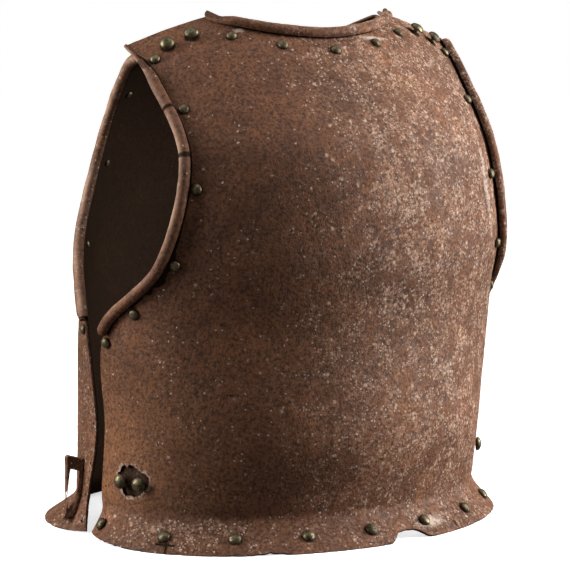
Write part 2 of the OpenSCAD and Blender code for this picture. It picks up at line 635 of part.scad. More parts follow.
// nearer the front the flange stands out further, so the loop clears it there
function loop_line(t) =
    let (
        front = loop_share - loop_w / 2 / norm(by_share(breast, loop_share, 1)),
        a = sheet_line(loop_share, t),
        b = sheet_line(front, t))
    [max(a[0], b[0]) + loop_clear, a[1]];
function drop(z, from) = max(from - z, 0) / (from - loop_foot_z);
function bar_out(z) = loop_stand + loop_kick * pow(drop(z, loop_bend_z), 2);
function leaf_point(t) =
    let (q = loop_line(t))
    [q[0] + leaf_t + leaf_swell * pow(drop(q[1], leaf_swell_z), leaf_swell_power), q[1]];
loop_top_level = 2 + (loop_top - loin_z) / (flank_z - loin_z);
slot_top_level = 2 + (loop_top - loop_head - loin_z) / (flank_z - loin_z);
loop_foot_level = 0.5;
module loop_at(side) {
    mirror([side > 0 ? 0 : 1, 0, 0])
        multmatrix([[loop_normal[0], 0, loop_normal[1], loop_origin[0]],
            [loop_normal[1], 0, -loop_normal[0], loop_origin[1]], [0, 1, 0, 0]]) children();
}
module belt_loop(side) {
    steps = 5;
    fall = loop_bend_z - loop_foot_z;
    outer = concat([[loop_stand, loop_top - loop_bar / 2], [loop_stand, loop_bend_z]],
        [for (k = [1:steps]) let (z = loop_bend_z - k / steps * fall) [bar_out(z), z]]);
    sheet_steps = 3 * steps;
    back_side = [for (k = [0:sheet_steps])
        loop_line(loop_foot_level + k / sheet_steps * (loop_top_level - loop_foot_level))];
    leaf_steps = 2 * steps;
    slot_in = [for (k = [0:leaf_steps])
        leaf_point(slot_top_level - k / leaf_steps * (slot_top_level - loop_slot_level))];
    slot_low = slot_in[leaf_steps][1];
    slot_out = [for (k = [0:steps]) let (z = slot_low + k / steps * (loop_bend_z - slot_low))
        [max(bar_out(z) - loop_bar, slot_in[leaf_steps][0] + slot_end_w), z]];
    color(iron) difference() {
        loop_at(side) translate([0, 0, -loop_w / 2]) linear_extrude(loop_w)
            polygon(concat([[loop_stand - loop_bar / 2, loop_top]], outer, back_side));
        loop_at(side) translate([0, 0, -loop_w]) linear_extrude(2 * loop_w)
            polygon(concat(slot_in, slot_out, [[loop_stand - loop_bar, loop_top - loop_head]]));
        for (t = loop_rivet_levels) loop_bore(side, t);
    }
}
// A bore square to the sheet through the leaf
module loop_bore(side, t) {
    loop_at(side) translate([0, loop_line(t)[1], 0]) rotate([0, 90, 0])
        translate([0, 0, -hole_reach])
            cylinder(d = loop_rivet_d + 2 * hole_clear, h = 2 * hole_reach, $fn = round_sides);
}
module loop_rivets(side) {
    peen_z = -leaf_t - loop_clear - breast_t - 2 * loop_rivet_proud;
    end_z = peen_z + loop_rivet_proud - loop_rivet_end;
    profile = [[0, end_z], [peen_d / 2, end_z], [peen_d / 2, peen_z], [loop_rivet_d / 2, peen_z],
        [loop_rivet_d / 2, 0], [0, 0]];
    color(iron) for (t = loop_rivet_levels) loop_at(side)
        translate([loop_line(t)[0] + leaf_t + loop_rivet_proud, loop_line(t)[1], 0])
            rotate([0, 90, 0]) rotate_extrude($fn = round_sides) polygon(profile);
}

centred() backplate();
centred() neck_wire(back);  // back_neck_wire
centred() arm_wire(back, 1);  // back_arm_wire_left
centred() arm_wire(back, -1);  // back_arm_wire_right
centred() rivets(back, neck_places(back), edge_head_d);  // back_neck_rivets
centred() rivets(back, arm_places(back, 1), edge_head_d);  // back_arm_rivets_left
centred() rivets(back, arm_places(back, -1), edge_head_d);  // back_arm_rivets_right
centred() rivets(back, waist_places, waist_head_d);  // back_waist_rivets
centred() rivets(back, strap_places(1), strap_head_d, leather_t);  // strap_rivets_left
centred() rivets(back, strap_places(-1), strap_head_d, leather_t);  // strap_rivets_right
centred() rivets(back, belt_places(1), strap_head_d, leather_t, washer_clear + washer_t);  // belt_rivets_left
centred() rivets(back, belt_places(-1), strap_head_d, leather_t, washer_clear + washer_t);  // belt_rivets_right
centred() belt_washer(1);  // belt_washer_left
centred() belt_washer(-1);  // belt_washer_right
centred() breastplate();
centred() neck_wire(breast);  // breast_neck_wire
centred() arm_wire(breast, 1);  // breast_arm_wire_left
centred() arm_wire(breast, -1);  // breast_arm_wire_right
centred() rivets(breast, neck_places(breast), edge_head_d);  // breast_neck_rivets
centred() rivets(breast, arm_places(breast, 1), edge_head_d);  // breast_arm_rivets_left
centred() rivets(breast, arm_places(breast, -1), edge_head_d);  // breast_arm_rivets_right
centred() strap_stud(1);  // strap_stud_left
centred() strap_stud(-1);  // strap_stud_right
centred() belt_loop(1);  // belt_loop_left
centred() belt_loop(-1);  // belt_loop_right
centred() loop_rivets(1);  // loop_rivets_left
centred() loop_rivets(-1);  // loop_rivets_right
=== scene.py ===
"""Dresses a packed cuirass: rusted sheet with rolled edges, brass rivets, belt loops and a plain studio."""
import math
import random
from collections import namedtuple

import bmesh
import bpy
import numpy as np
from bpy.props import FloatProperty, FloatVectorProperty, IntProperty, PointerProperty
from mathutils import Matrix, Vector, noise


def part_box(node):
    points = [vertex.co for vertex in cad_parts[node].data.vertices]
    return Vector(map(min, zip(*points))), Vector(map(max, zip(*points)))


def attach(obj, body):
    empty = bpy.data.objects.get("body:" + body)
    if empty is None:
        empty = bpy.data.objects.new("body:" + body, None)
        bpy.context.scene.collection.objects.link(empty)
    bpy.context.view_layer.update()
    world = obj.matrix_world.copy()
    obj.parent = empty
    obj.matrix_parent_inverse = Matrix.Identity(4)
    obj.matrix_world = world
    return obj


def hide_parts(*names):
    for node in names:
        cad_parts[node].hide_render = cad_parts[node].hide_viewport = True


bl_info = {
    "name": "Cuirass",
    "version": (1, 0, 0),
    "blender": (4, 5, 0),
    "location": "3D View > Sidebar > Cuirass",
    "description": "Dresses a packed cuirass in rusted iron and tarnished brass",
    "category": "Object",
}

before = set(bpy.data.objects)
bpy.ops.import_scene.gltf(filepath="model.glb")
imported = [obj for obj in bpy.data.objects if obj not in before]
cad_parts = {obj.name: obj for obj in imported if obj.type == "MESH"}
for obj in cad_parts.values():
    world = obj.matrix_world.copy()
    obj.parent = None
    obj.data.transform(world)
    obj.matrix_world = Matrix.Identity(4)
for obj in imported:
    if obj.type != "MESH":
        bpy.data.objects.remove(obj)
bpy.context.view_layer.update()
MM = 0.001
PANEL_TAB = "Cuirass"
# The step in shares and levels over which a plate's slopes are measured
STEP = 0.002

# Heights of the plates' levels above the hem, in millimetres
WAIST, LOIN, FLANK, ARMPIT, CHEST, BLADE, SHOULDER, YOKE, CREST = 20, 37, 85, 162, 225, 298, 361, 390, 406.5
# How far the breastplate's side edge lies in front of the backplate's
SEAM_GAP = 22
# The ridge down the breastplate's middle
KEEL_HEIGHT = 6
KEEL_POWER = 4
# The share from which the hem rises to its side ends
LEVEL_SHARE = 0.6
# The breastplate's shoulder ends lie under the backplate's: their gap, half width and levels on the backplate
LAP_CLEAR = 0.6
BREAST_SHOULDER_HALF = 134
RIDGE_LEVEL = 9
LAP_LEVEL = 8.72
# The armholes begin at this level, and the neck pulls the levels down above the other
ARM_LEVEL = 4
BODY_LEVEL = 5

# A level's curve is part of an ellipse, width by twice the depth, to an angle in degrees at each side. The
# shift moves it outwards, its sides fall below its middle, and the ridge is a share of the keel's height
Level = namedtuple("Level", "height width depth shift fall angle ridge")
BACK_LEVELS = [
    Level(WAIST, 325, 117, 0, 0, 91.5, 0),
    Level(LOIN, 323, 118.5, 0, 0, 92, 0),
    Level(FLANK, 325.5, 131.5, 0, 0, 88, 0),
    Level(ARMPIT, 348.5, 126.5, 0, 0, 80, 0),
    Level(CHEST, 367, 135.5, -1.5, 8.5, 55.5, 0),
    Level(BLADE, 361.5, 127.5, -2, 8.5, 48.5, 0),
    Level(SHOULDER, 342.5, 100, -18.5, 23.5, 53, 0),
    Level(YOKE, 330, 70.5, -19.5, 34, 58, 0),
    Level(CREST, 328, 33, -12.5, 41.5, 60.5, 0),
]
BREAST_LEVELS = [
    Level(WAIST, 335, 115, SEAM_GAP, 0, 91.5, 1),
    Level(LOIN, 328, 115, SEAM_GAP, 0, 91, 1),
    Level(FLANK, 321, 128, SEAM_GAP, 0, 93, 1),
    Level(ARMPIT, 312, 138.5, SEAM_GAP - 1, 0, 80.5, 1),
    Level(CHEST, 315, 134, SEAM_GAP - 4, 8, 57.5, 0.9),
    Level(BLADE, 318, 113, SEAM_GAP - 4, 8, 42, 0.6),
    Level(SHOULDER, 308, 71.5, SEAM_GAP - 10, 24, 43, 0.2),
    Level(YOKE, 287, 32, SEAM_GAP - 20, 38, 54, 0),
]


def unit(vectors):
    return vectors / np.maximum(np.linalg.norm(vectors, axis=-1, keepdims=True), 1e-9)


def smooth(values, low, high):
    t = np.clip((values - low) / (high - low), 0, 1)
    return t * t * (3 - 2 * t)


class Plate:
    """The middle surface of a plate. A place on it is a share, -1 to 1 across, and a level, 0 at the hem."""

    def __init__(self, facing, levels, flare, neck, sheet, hem_rise):
        self.facing = facing
        self.levels = levels
        self.flare, self.flare_end, self.flare_power = flare
        self.neck_share, self.neck_level, self.neck_power = neck
        self.sheet = sheet
        self.hem_rise = hem_rise
        self.last = len(levels) if facing > 0 else len(levels) + 2

    def level_point(self, level, share):
        a = np.radians(level.angle) * share
        keel = KEEL_HEIGHT * level.ridge * np.maximum(1 - np.abs(share), 0) ** KEEL_POWER
        y = self.facing * (level.shift + level.depth * np.cos(a) + keel)
        return np.stack([level.width / 2 * np.sin(a), y, level.height - level.fall * np.sin(a) ** 2], -1)

    def hem_point(self, share):
        level = self.levels[0]
        a = np.radians(level.angle) * share
        out = unit(np.stack([level.depth * np.sin(a), self.facing * level.width / 2 * np.cos(a), 0 * a], -1))
        flare = self.flare_end + (self.flare - self.flare_end) * (1 - np.abs(share) ** self.flare_power)
        place = self.level_point(level, share) + flare[..., None] * out
        place[..., 2] = self.hem_rise * (np.maximum(np.abs(share) - LEVEL_SHARE, 0) / (1 - LEVEL_SHARE)) ** 2
        return place

    def under_point(self, share, level):
        """A point of the breastplate where it lies under the backplate."""
        crest = BACK_LEVELS[-1]
        at = np.degrees(np.arcsin(2 * BREAST_SHOULDER_HALF * share / crest.width)) / crest.angle
        gap = BACK.sheet / 2 + LAP_CLEAR + self.sheet / 2
        return BACK.point(at, level) - BACK.normal(at, level) * gap

    def point(self, share, level):
        pair = np.broadcast_arrays(np.asarray(share, float), np.asarray(level, float))
        share, level = (np.ravel(values) for values in pair)
        rows = [self.hem_point(share)] + [self.level_point(k, share) for k in self.levels]
        if self.facing < 0:
            rows += [self.under_point(share, RIDGE_LEVEL), self.under_point(share, LAP_LEVEL)]
        rows = np.stack(rows)
        n = len(rows)
        i = np.clip(np.floor(level).astype(int), 0, n - 2)
        f = (level - i)[:, None]
        at = np.arange(level.size)
        b, c = rows[i, at], rows[i + 1, at]
        a = np.where((i > 0)[:, None], rows[np.maximum(i - 1, 0), at], 2 * b - c)
        d = np.where((i < n - 2)[:, None], rows[np.minimum(i + 2, n - 1), at], 2 * c - b)
        place = b + f / 2 * (c - a + f * (2 * a - 5 * b + 4 * c - d + f * (3 * (b - c) + d - a)))
        lapped = level > RIDGE_LEVEL
        if self.facing < 0 and lapped.any():
            behind = RIDGE_LEVEL - (level[lapped] - RIDGE_LEVEL) * (RIDGE_LEVEL - LAP_LEVEL)
            place[lapped] = self.under_point(share[lapped], behind)
        return place

    def across(self, share, level):
        return (self.point(share + STEP, level) - self.point(share - STEP, level)) / (2 * STEP)

    def up(self, share, level):
        high = np.minimum(np.asarray(level, float) + STEP, self.last)
        return (self.point(share, high) - self.point(share, high - 2 * STEP)) / (2 * STEP)

    def normal(self, share, level):
        return unit(np.cross(self.across(share, level), self.up(share, level))) * -self.facing

    def top_level(self, share):
        """The level at which the sheet ends, which is lower across the neck."""
        u = np.minimum(np.abs(share) / self.neck_share, 1)
        return self.last - (self.last - self.neck_level) * (1 - u**self.neck_power) ** (1 / self.neck_power)

    def row_level(self, share, level):
        pulled = (self.top_level(share) - BODY_LEVEL) / (self.last - BODY_LEVEL)
        return np.where(level <= BODY_LEVEL, level, BODY_LEVEL + (level - BODY_LEVEL) * pulled)


# A flare is its widths in the middle and at the ends, and a power. A neck is its share, its level and a power
BACK = Plate(1, BACK_LEVELS, (19, 9, 4.4), (0.484, 7.65, 1.84), sheet=2, hem_rise=3)
BREAST = Plate(-1, BREAST_LEVELS, (28, 1, 6), (0.55, 7.1, 3.3), sheet=2.4, hem_rise=1)


def frame_shift():
    """How far the frame's origin lies in front of the surfaces' own, in millimetres."""
    hem = BACK.hem_point(np.zeros(1))[0]
    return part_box("backplate")[1].y / MM - hem[1] - BACK.sheet / 2


SHIFT = np.array([0, frame_shift(), 0])


class PlateSizes(bpy.types.PropertyGroup):
    """Sizes of the plates' surface."""

    step: FloatProperty(name="Mesh step", description="Distance between the sheet's vertices",
                        default=2.25 * MM, unit="LENGTH")
    roll: FloatProperty(name="Roll", description="Outside diameter of the rolled edges",
                        default=8.6 * MM, unit="LENGTH")
    rolled_sheet: FloatProperty(name="Rolled sheet", description="Thickness of the sheet in the rolls",
                                default=1.4 * MM, unit="LENGTH")
    turn: FloatProperty(name="Turn", description="Angle through which the edges are rolled",
                        default=math.radians(280), subtype="ANGLE")
    roll_steps: IntProperty(name="Steps", description="Steps round a roll", default=12)
    dents: FloatProperty(name="Dents", description="Depth of the hammered unevenness",
                         default=0.6 * MM, unit="LENGTH")
    pits: FloatProperty(name="Pits", description="Depth of the rust's pits", default=0.16 * MM, unit="LENGTH")


class RivetSizes(bpy.types.PropertyGroup):
    """Sizes of the rivets' heads."""

    dome: FloatProperty(name="Dome", description="Height of a head as a share of its diameter", default=0.31)
    wear: FloatProperty(name="Wear", description="Depth of the dents in a head",
                        default=0.14 * MM, unit="LENGTH")


def finish_colour(name, description, default):
    return FloatVectorProperty(name=name, description=description, default=default, subtype="COLOR", size=3,
                               min=0, max=1)


class Finishes(bpy.types.PropertyGroup):
    """Colours of the finishes."""

    rust: finish_colour("Rust", "Reddish brown rust", (0.222, 0.09, 0.044))
    earth: finish_colour("Earth", "Dark brown rust", (0.085, 0.034, 0.016))
    orange: finish_colour("Orange", "Fresh orange rust", (0.3, 0.125, 0.045))
    crust: finish_colour("Crust", "Pale mineral crust", (0.63, 0.5, 0.41))
    # The speck colour also paints the highlight along the crest of the rolls
    speck_and_highlight: finish_colour("Speck", "Pinkish specks on the rust", (0.53, 0.34, 0.235))
    # The grime colour darkens the rust's grain. It also paints the shade in the recesses, on the inner skin
    # and round the rivets
    grime: finish_colour("Grime", "Dark grime in the recesses", (0.016, 0.011, 0.008))
    brass: finish_colour("Brass", "Tarnished brass", (0.17, 0.135, 0.07))
    tarnish: finish_colour("Tarnish", "Dark tarnish on the brass", (0.03, 0.022, 0.012))


class StudioSettings(bpy.types.PropertyGroup):
    """The camera and lights."""

    distance: FloatProperty(name="Distance", description="Distance of the camera from its target",
                            default=1.9776, unit="LENGTH")
    azimuth: FloatProperty(name="Azimuth", description="Turn of the camera round the object",
                           default=math.radians(148.85), subtype="ANGLE")
    elevation: FloatProperty(name="Elevation", description="Height of the camera's line of sight",
                             default=math.radians(7.459), subtype="ANGLE")
    lens: FloatProperty(name="Lens", description="Focal length on a 36 mm sensor", default=157.96)
    right: FloatProperty(name="Right light", description="Power of the large softbox", default=62.0)
    left: FloatProperty(name="Left light", description="Power of the small softbox", default=38.0)
    top: FloatProperty(name="Top light", description="Strength of the light from above", default=1.0)
    floor_glow: FloatProperty(name="Floor", description="Light that the floor itself gives off", default=0.6)
    fill: FloatProperty(name="Fill", description="Strength of the light from all round", default=0.13)


def wobble(points, size, seed):
    """Smooth noise at each point, from about -1 to 1, with features of that size."""
    random.seed(seed)
    offset = Vector((random.uniform(0, 99), random.uniform(0, 99), random.uniform(0, 99)))
    return np.array([noise.noise(Vector(p) / size + offset) for p in points])


def positions(vertices):
    return np.array([v.co for v in vertices])


def read_mesh(mesh):
    flat = np.empty(len(mesh.vertices) * 3, np.float32)
    mesh.vertices.foreach_get("co", flat)
    return flat.reshape(-1, 3).astype(float)


def read_normals(mesh):
    flat = np.empty(len(mesh.vertices) * 3, np.float32)
    mesh.vertex_normals.foreach_get("vector", flat)
    return flat.reshape(-1, 3).astype(float)


def write_mesh(mesh, points):
    mesh.vertices.foreach_set("co", points.astype(np.float32).ravel())
    mesh.update()


def read_attribute(mesh, name):
    values = np.empty(len(mesh.vertices), np.float32)
    mesh.attributes[name].data.foreach_get("value", values)
    return values.astype(float)


def write_attributes(mesh, **attributes):
    """Writes each attribute, as a value for every vertex or one value for all."""
    for name, values in attributes.items():
        layer = mesh.attributes.get(name) or mesh.attributes.new(name, "FLOAT", "POINT")
        values = np.broadcast_to(np.clip(values, 0, 1), len(mesh.vertices))
        layer.data.foreach_set("value", values.astype(np.float32))


def new_object(name, mesh, body, nodes, material, sharp=math.radians(40)):
    """Puts a finished mesh into the scene in the place of CAD nodes."""
    for polygon in mesh.polygons:
        polygon.use_smooth = True
    mesh.set_sharp_from_angle(angle=sharp)
    piece = bpy.data.objects.new(name, mesh)
    bpy.context.scene.collection.objects.link(piece)
    mesh.materials.clear()
    mesh.materials.append(material)
    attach(piece, body)
    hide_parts(*nodes)


def mesh_from(bm, name):
    mesh = bpy.data.meshes.new(name)
    bm.to_mesh(mesh)
    bm.free()
    return mesh


def with_modifiers(name, mesh, *modifiers):
    """The mesh after modifiers, each a type and its settings."""
    carrier = bpy.data.objects.new(name + "_work", mesh)
    bpy.context.scene.collection.objects.link(carrier)
    if "body" in mesh.attributes:
        group = carrier.vertex_groups.new(name="body")
        for index, weight in enumerate(read_attribute(mesh, "body")):
            group.add([index], float(weight), "REPLACE")
    for kind, settings in modifiers:
        modifier = carrier.modifiers.new(kind.lower(), kind)
        for key, value in settings.items():
            setattr(modifier, key, value)
    bpy.context.view_layer.update()
    graph = bpy.context.evaluated_depsgraph_get()
    result = bpy.data.meshes.new_from_object(carrier.evaluated_get(graph), depsgraph=graph)
    result.name = name
    bpy.data.objects.remove(carrier)
    return result


# About how far a sheet reaches across and along, in millimetres, and the sizes of its hammered dents
SHEET_ACROSS, SHEET_ALONG = 500, 430
WIDE_DENTS, SMALL_DENTS = 75, 24
SMALL_DENTS_SHARE = 0.35
# Seeds of the rolls' unevenness
LEFT_SEED, RIGHT_SEED, NECK_SEED = 36, 31, 47
# Places where the back's sheet is eaten away, as share, level and radius in millimetres
RUST_HOLE = [(0.858, 2.33, 6.5), (0.828, 2.19, 7), (0.795, 2.22, 7.5), (0.768, 2.36, 6.5), (0.815, 2.42, 7.5),
             (0.855, 2.46, 5)]
RUST_HOLE_ROUGHNESS = 1.6
# Lines and spots eaten or cut into the backplate: their places, width and depth in millimetres, and the
# darkness of the painted shade in them
GROOVES = [
    ([(0.863, 4.92), (0.82, 4.58), (0.802, 4.25), (0.818, 4.12), (0.913, 3.98), (0.958, 3.92)],
     2.3, 0.2, 0.22),
    ([(0.463, 3.46), (0.466, 3.46)], 2.6, 0.8, 1.0),
]
# Slits through the backplate, from a share and level to another, how wide they gape, and the width of the
# painted shade along them
SLITS = [((0.60, 0.24), (0.665, 0.24)), ((0.627, 0), (0.627, 0.24)), ((-0.312, 0), (-0.312, 0.3))]
SLIT_GAP = 0.5
SLIT_DARK = 2.4
# The hem's torn stretch and its bite: the share in the middle, the width in shares and the depth in levels
HEM_TEAR = (0.31, 0.05, 0.14)
HEM_BITE = (-0.118, 0.055, 0.34)
HEM_RAGGED = 0.05
# Cracks across the rolls, painted as lines of shade: shares along the neck and levels along the left arm
NECK_CRACKS = [0.213, -0.062]
LEFT_ARM_CRACKS = [6.61, 6.06]
# How dark the painted shade and dirt round the rivets are
RIVET_SHADE_AND_DIRT = 0.75
# Pale crust, dense speckles and fresh rust on the backplate: strength, place, and size in shares and levels
CRUST = [(0.8, (-0.25, 7.6), 0.13, 0.09), (0.75, (0.41, 8.1), 0.05, 0.12), (0.5, (-0.35, 7.95), 0.05, 0.25),
         (0.62, (-0.84, 5.6), 0.05, 0.9), (0.75, (-0.22, 0.45), 0.09, 0.3), (0.35, (-0.125, 6.01), 0.07, 0.3)]
INSIDE_SPECKLE, BREAST_SPECKLE = 0.05, 0.24
SPECKLES = [(0.3, (-0.125, 6.01), 0.15, 0.7), (0.25, (-0.213, 5.5), 0.15, 0.7),
            (0.6, (0.62, 0.75), 0.25, 0.5)]
ORANGE = [(0.75, (0.93, 2.6), 0.3, 1.1), (0.5, (-0.32, 6.72), 0.1, 0.3), (0.5, (0.292, 1.0), 0.05, 0.3)]
# Painted shade in the recess beside the armholes' rolls: its outer and inner edge in millimetres, and where
# it is wider
SHADE_EDGE, SHADE_FULL = 6.3, 4.3
SHADE_WIDENING = [(6.5, (1, 4.7), 0.3, 0.4), (2.5, (-1, 6), 0.3, 0.7)]
# About how many millimetres there are to a level at the neck
NECK_LEVEL_RUN = 40
# The neck's right corner curls up to a spike of this height over this run
NECK_SPIKE = 5
NECK_SPIKE_RUN = 12
# Distances from a roll's end at which it is full, at the neck's left, or grows full, at the shoulders
NECK_START = 26
LEFT_THIN = (16, 46)
RIGHT_THIN = (2, 9)
# Small empty holes, down the breastplate's sides and along its flange, and one at the backplate's left side
SIDE_HOLE_LEVELS = [0.4, 1.65, 2.43, 3, 3.35, 3.7]
SIDE_HOLE_INSET = 4
FLANGE_HOLES = 5
FLANGE_HOLE_LEVEL = 0.4
BACK_HOLE = (0.965, 2.1)
LINING_HOLE_RADIUS = 1.1


def across_places(plate, columns, rows, hem_cut):
    """Shares and levels for a grid's flat places, with columns drawn together towards the neck's corners."""
    span = plate.point(0, np.arange(plate.last + 1))
    lengths = np.concatenate([[0], np.cumsum(np.linalg.norm(np.diff(span, axis=0), axis=1))])
    level = np.interp(rows * lengths[-1], lengths, np.arange(plate.last + 1))
    inside = np.minimum(np.abs(columns) / plate.neck_share, 1)
    drawn = np.sign(columns) * plate.neck_share * np.sin(inside * math.pi / 2)
    drawn = np.where(np.abs(columns) < plate.neck_share, drawn, columns)
    weight = smooth(level, BODY_LEVEL, plate.last)
    share = columns * (1 - weight) + drawn * weight
    cut = hem_cut(share)
    level = np.where(level < 1, cut + level * (1 - cut), level)
    return share, plate.row_level(share, level)


def sheet_grid(plate, sizes, hem_cut, dents_seed):
    """A grid over a plate's middle surface, whose vertices keep their share, level and thickness weight."""
    across = round(SHEET_ACROSS * MM / sizes.step)
    along = round(SHEET_ALONG * MM / sizes.step)
    bm = bmesh.new()
    bmesh.ops.create_grid(bm, x_segments=across, y_segments=along, size=1)
    flat = positions(bm.verts)
    share, level = across_places(plate, flat[:, 0], (flat[:, 1] + 1) / 2, hem_cut)
    points = plate.point(share, level)
    normals = plate.normal(share, level)
    wide = wobble(points, WIDE_DENTS, dents_seed)
    small = wobble(points, SMALL_DENTS, dents_seed + 1)
    dents = sizes.dents / MM * (wide + SMALL_DENTS_SHARE * small)
    # The hem and the breastplate's shoulder ends stay even
    dents *= smooth(level, 0, 1.2)
    if plate.facing < 0:
        dents *= 1 - smooth(level, 7.2, 8.2)
    points += normals * dents[:, None]
    layers = {name: bm.verts.layers.float.new(name) for name in ("share", "level", "roll", "body")}
    rows = {}
    for k, vertex in enumerate(bm.verts):
        vertex.co = points[k]
        vertex[layers["share"]] = share[k]
        vertex[layers["level"]] = level[k]
        vertex[layers["body"]] = 1
        rows[round((flat[k][0] + 1) / 2 * across), round((flat[k][1] + 1) / 2 * along)] = vertex
    if plate.facing > 0:
        bmesh.ops.reverse_faces(bm, faces=bm.faces)
    return bm, layers, (rows, across, along)


def extrude_chain(bm, chain):
    """Extrudes a chain of boundary edges, and returns the new chain."""
    edges = [bm.edges.get((a, b)) for a, b in zip(chain, chain[1:])]
    made = bmesh.ops.extrude_edge_only(bm, edges=edges)["geom"]
    fresh = {e for e in made if isinstance(e, bmesh.types.BMVert)}
    step = {}
    for vertex in fresh:
        for edge in vertex.link_edges:
            other = edge.other_vert(vertex)
            if other not in fresh:
                step[other] = vertex
    return [step[v] for v in chain]


def roll_edge(bm, layers, plate, sizes, chain, outward, taper, lift, seed):
    """Rolls a chain of edges outwards round a wire, and lifts it out of the sheet's end."""
    points = positions(chain)
    share = np.array([v[layers["share"]] for v in chain])
    level = np.array([v[layers["level"]] for v in chain])
    normals = plate.normal(share, level)
    run = unit(np.gradient(points, axis=0))
    out = unit(outward - (outward * run).sum(-1, keepdims=True) * run)
    out = unit(out - (out * normals).sum(-1, keepdims=True) * normals)
    full = (sizes.roll - sizes.rolled_sheet) / 2 / MM
    radius = full * taper * (1 + 0.05 * wobble(points, 14, seed))
    turn = sizes.turn * (1 + 0.03 * wobble(points, 20, seed + 1))
    centre = points + normals * radius[:, None] + out * lift[:, None]
    for k in range(1, sizes.roll_steps + 1):
        chain = extrude_chain(bm, chain)
        angle = turn * k / sizes.roll_steps
        ring = centre + radius[:, None] * (out * np.sin(angle)[:, None] - normals * np.cos(angle)[:, None])
        for vertex, place in zip(chain, ring):
            vertex.co = place
            vertex[layers["roll"]] = k / sizes.roll_steps
            vertex[layers["body"]] = 0


def along_chain(chain):
    points = positions(chain)
    return np.concatenate([[0], np.cumsum(np.linalg.norm(np.diff(points, axis=0), axis=1))])


def arm_taper(chain, thin_from, thin_to):
    """A roll that is thin up to the shoulder's corner and rounded off at the armpit."""
    run = along_chain(chain)
    end = run[-1] - run
    return (0.25 + 0.75 * smooth(end, thin_from, thin_to)) * (0.8 + 0.2 * smooth(run, 0, 3))


def roll_edges(bm, layers, plate, sizes, grid, top_level, neck_reach, spike):
    """Rolls the armholes and the neck of a plate. The neck's right end may curl up to a spike."""
    rows, across, along = grid
    for side, column, thin, seed in ((1, across, LEFT_THIN, LEFT_SEED), (-1, 0, RIGHT_THIN, RIGHT_SEED)):
        edge = [rows[column, j] for j in range(along + 1)]
        chain = [v for v in edge if ARM_LEVEL <= v[layers["level"]] <= top_level]
        level = np.array([v[layers["level"]] for v in chain])
        outward = side * plate.across(np.full(len(chain), float(side)), level)
        flat = np.zeros(len(chain))
        roll_edge(bm, layers, plate, sizes, chain, outward, arm_taper(chain, *thin), flat, seed)
    top = [rows[i, along] for i in range(across + 1)]
    chain = [v for v in top if abs(v[layers["share"]]) <= plate.neck_share * neck_reach]
    share = np.array([v[layers["share"]] for v in chain])
    level = np.array([v[layers["level"]] for v in chain])
    run = along_chain(chain)
    curl = 1 - smooth(run, 0, NECK_SPIKE_RUN)
    taper = np.ones(len(chain))
    if spike:
        taper = (1 - 0.8 * curl) * (0.35 + 0.65 * smooth(run[-1] - run, 0, NECK_START))
    roll_edge(bm, layers, plate, sizes, chain, plate.up(share, level), taper, spike * curl**2, NECK_SEED)


def eat_away(bm, field):
    """Deletes the sheet where a field of distances is below zero, and draws its edge to zero."""
    vertices = list(bm.verts)
    points = positions(vertices)
    distance, away = field(points)
    depth = dict(zip(vertices, distance))
    gone = [f for f in bm.faces if all(depth[v] < 0 for v in f.verts)]
    bmesh.ops.delete(bm, geom=gone, context="FACES")
    for vertex, d, direction in zip(vertices, distance, away):
        if vertex.is_valid and d < 0:
            vertex.co += Vector(direction * -d)
    loose = [v for v in bm.verts if not v.link_faces]
    bmesh.ops.delete(bm, geom=loose, context="VERTS")


def blob_field(plate, blobs, roughness, seed):
    """Distances from the rim of a patch made of round blobs on a plate."""
    centres = np.array([plate.point(share, level)[0] for share, level, _ in blobs])
    radii = np.array([r for _, _, r in blobs])

    def field(points):
        offsets = points[:, None] - centres[None]
        spans = np.linalg.norm(offsets, axis=-1)
        nearest = (spans - radii).argmin(1)
        pick = np.arange(len(points))
        distance = (spans - radii)[pick, nearest]
        near = distance < 3 * roughness
        distance[near] += roughness * wobble(points[near], 4, seed)
        return distance, unit(offsets[pick, nearest])

    return field


def pierce(bm, plate, share, level, radius):
    """A small round hole: the nearest vertex goes, and its neighbours close up to a circle."""
    centre = Vector(plate.point(share, level)[0])
    nearest = min((v for v in bm.verts), key=lambda v: (v.co - centre).length_squared)
    ring = {v for f in nearest.link_faces for v in f.verts if v != nearest}
    bmesh.ops.delete(bm, geom=[nearest], context="VERTS")
    for vertex in ring:
        offset = vertex.co - centre
        vertex.co = centre + offset.normalized() * radius


def slit_chain(grid, layers, start, end):
    """The grid's vertices along a row or column, from near one place at the hem to near another."""
    rows, across, along = grid
    column = [min(range(across), key=lambda i: abs(rows[i, 0][layers["share"]] - place[0]))
              for place in (start, end)]
    row = [min(range(along // 4), key=lambda j: abs(rows[column[0], j][layers["level"]] - place[1]))
           for place in (start, end)]
    if column[0] == column[1]:
        return [rows[column[0], j] for j in range(row[0], row[1] + 1)]
    return [rows[i, row[0]] for i in range(column[0], column[1] + 1)]


def split_open(bm, chains, gap):
    """Cracks along chains of vertices: their edges are split and the sides drawn apart."""
    edges = [bm.edges.get(pair) for chain in chains for pair in zip(chain, chain[1:])]
    made = bmesh.ops.split_edges(bm, edges=edges)["edges"]
    moves = {}
    for vertex in {v for e in made for v in e.verts if len(v.link_faces) < 4}:
        faces = vertex.link_faces
        middle = sum((f.calc_center_median() for f in faces), Vector()) / len(faces)
        moves[vertex] = (middle - vertex.co).normalized() * gap / 2
    for vertex, move in moves.items():
        vertex.co += move


def side_inset(plate, side, level, inset):
    """The share of a place that far in from a side edge."""
    return side * (1 - inset / np.linalg.norm(plate.across(side, level)))


def line_distance(plate, places, points):
    """Distances of points from a line through places on a plate, in millimetres."""
    corners = [plate.point(*place)[0] for place in places]
    nearest = np.full(len(points), np.inf)
    for a, b in zip(corners, corners[1:]):
        run = b - a
        part = np.clip((points - a) @ run / max(run @ run, 1e-6), 0, 1)
        nearest = np.minimum(nearest, np.linalg.norm(points - a - part[:, None] * run, axis=1))
    return nearest


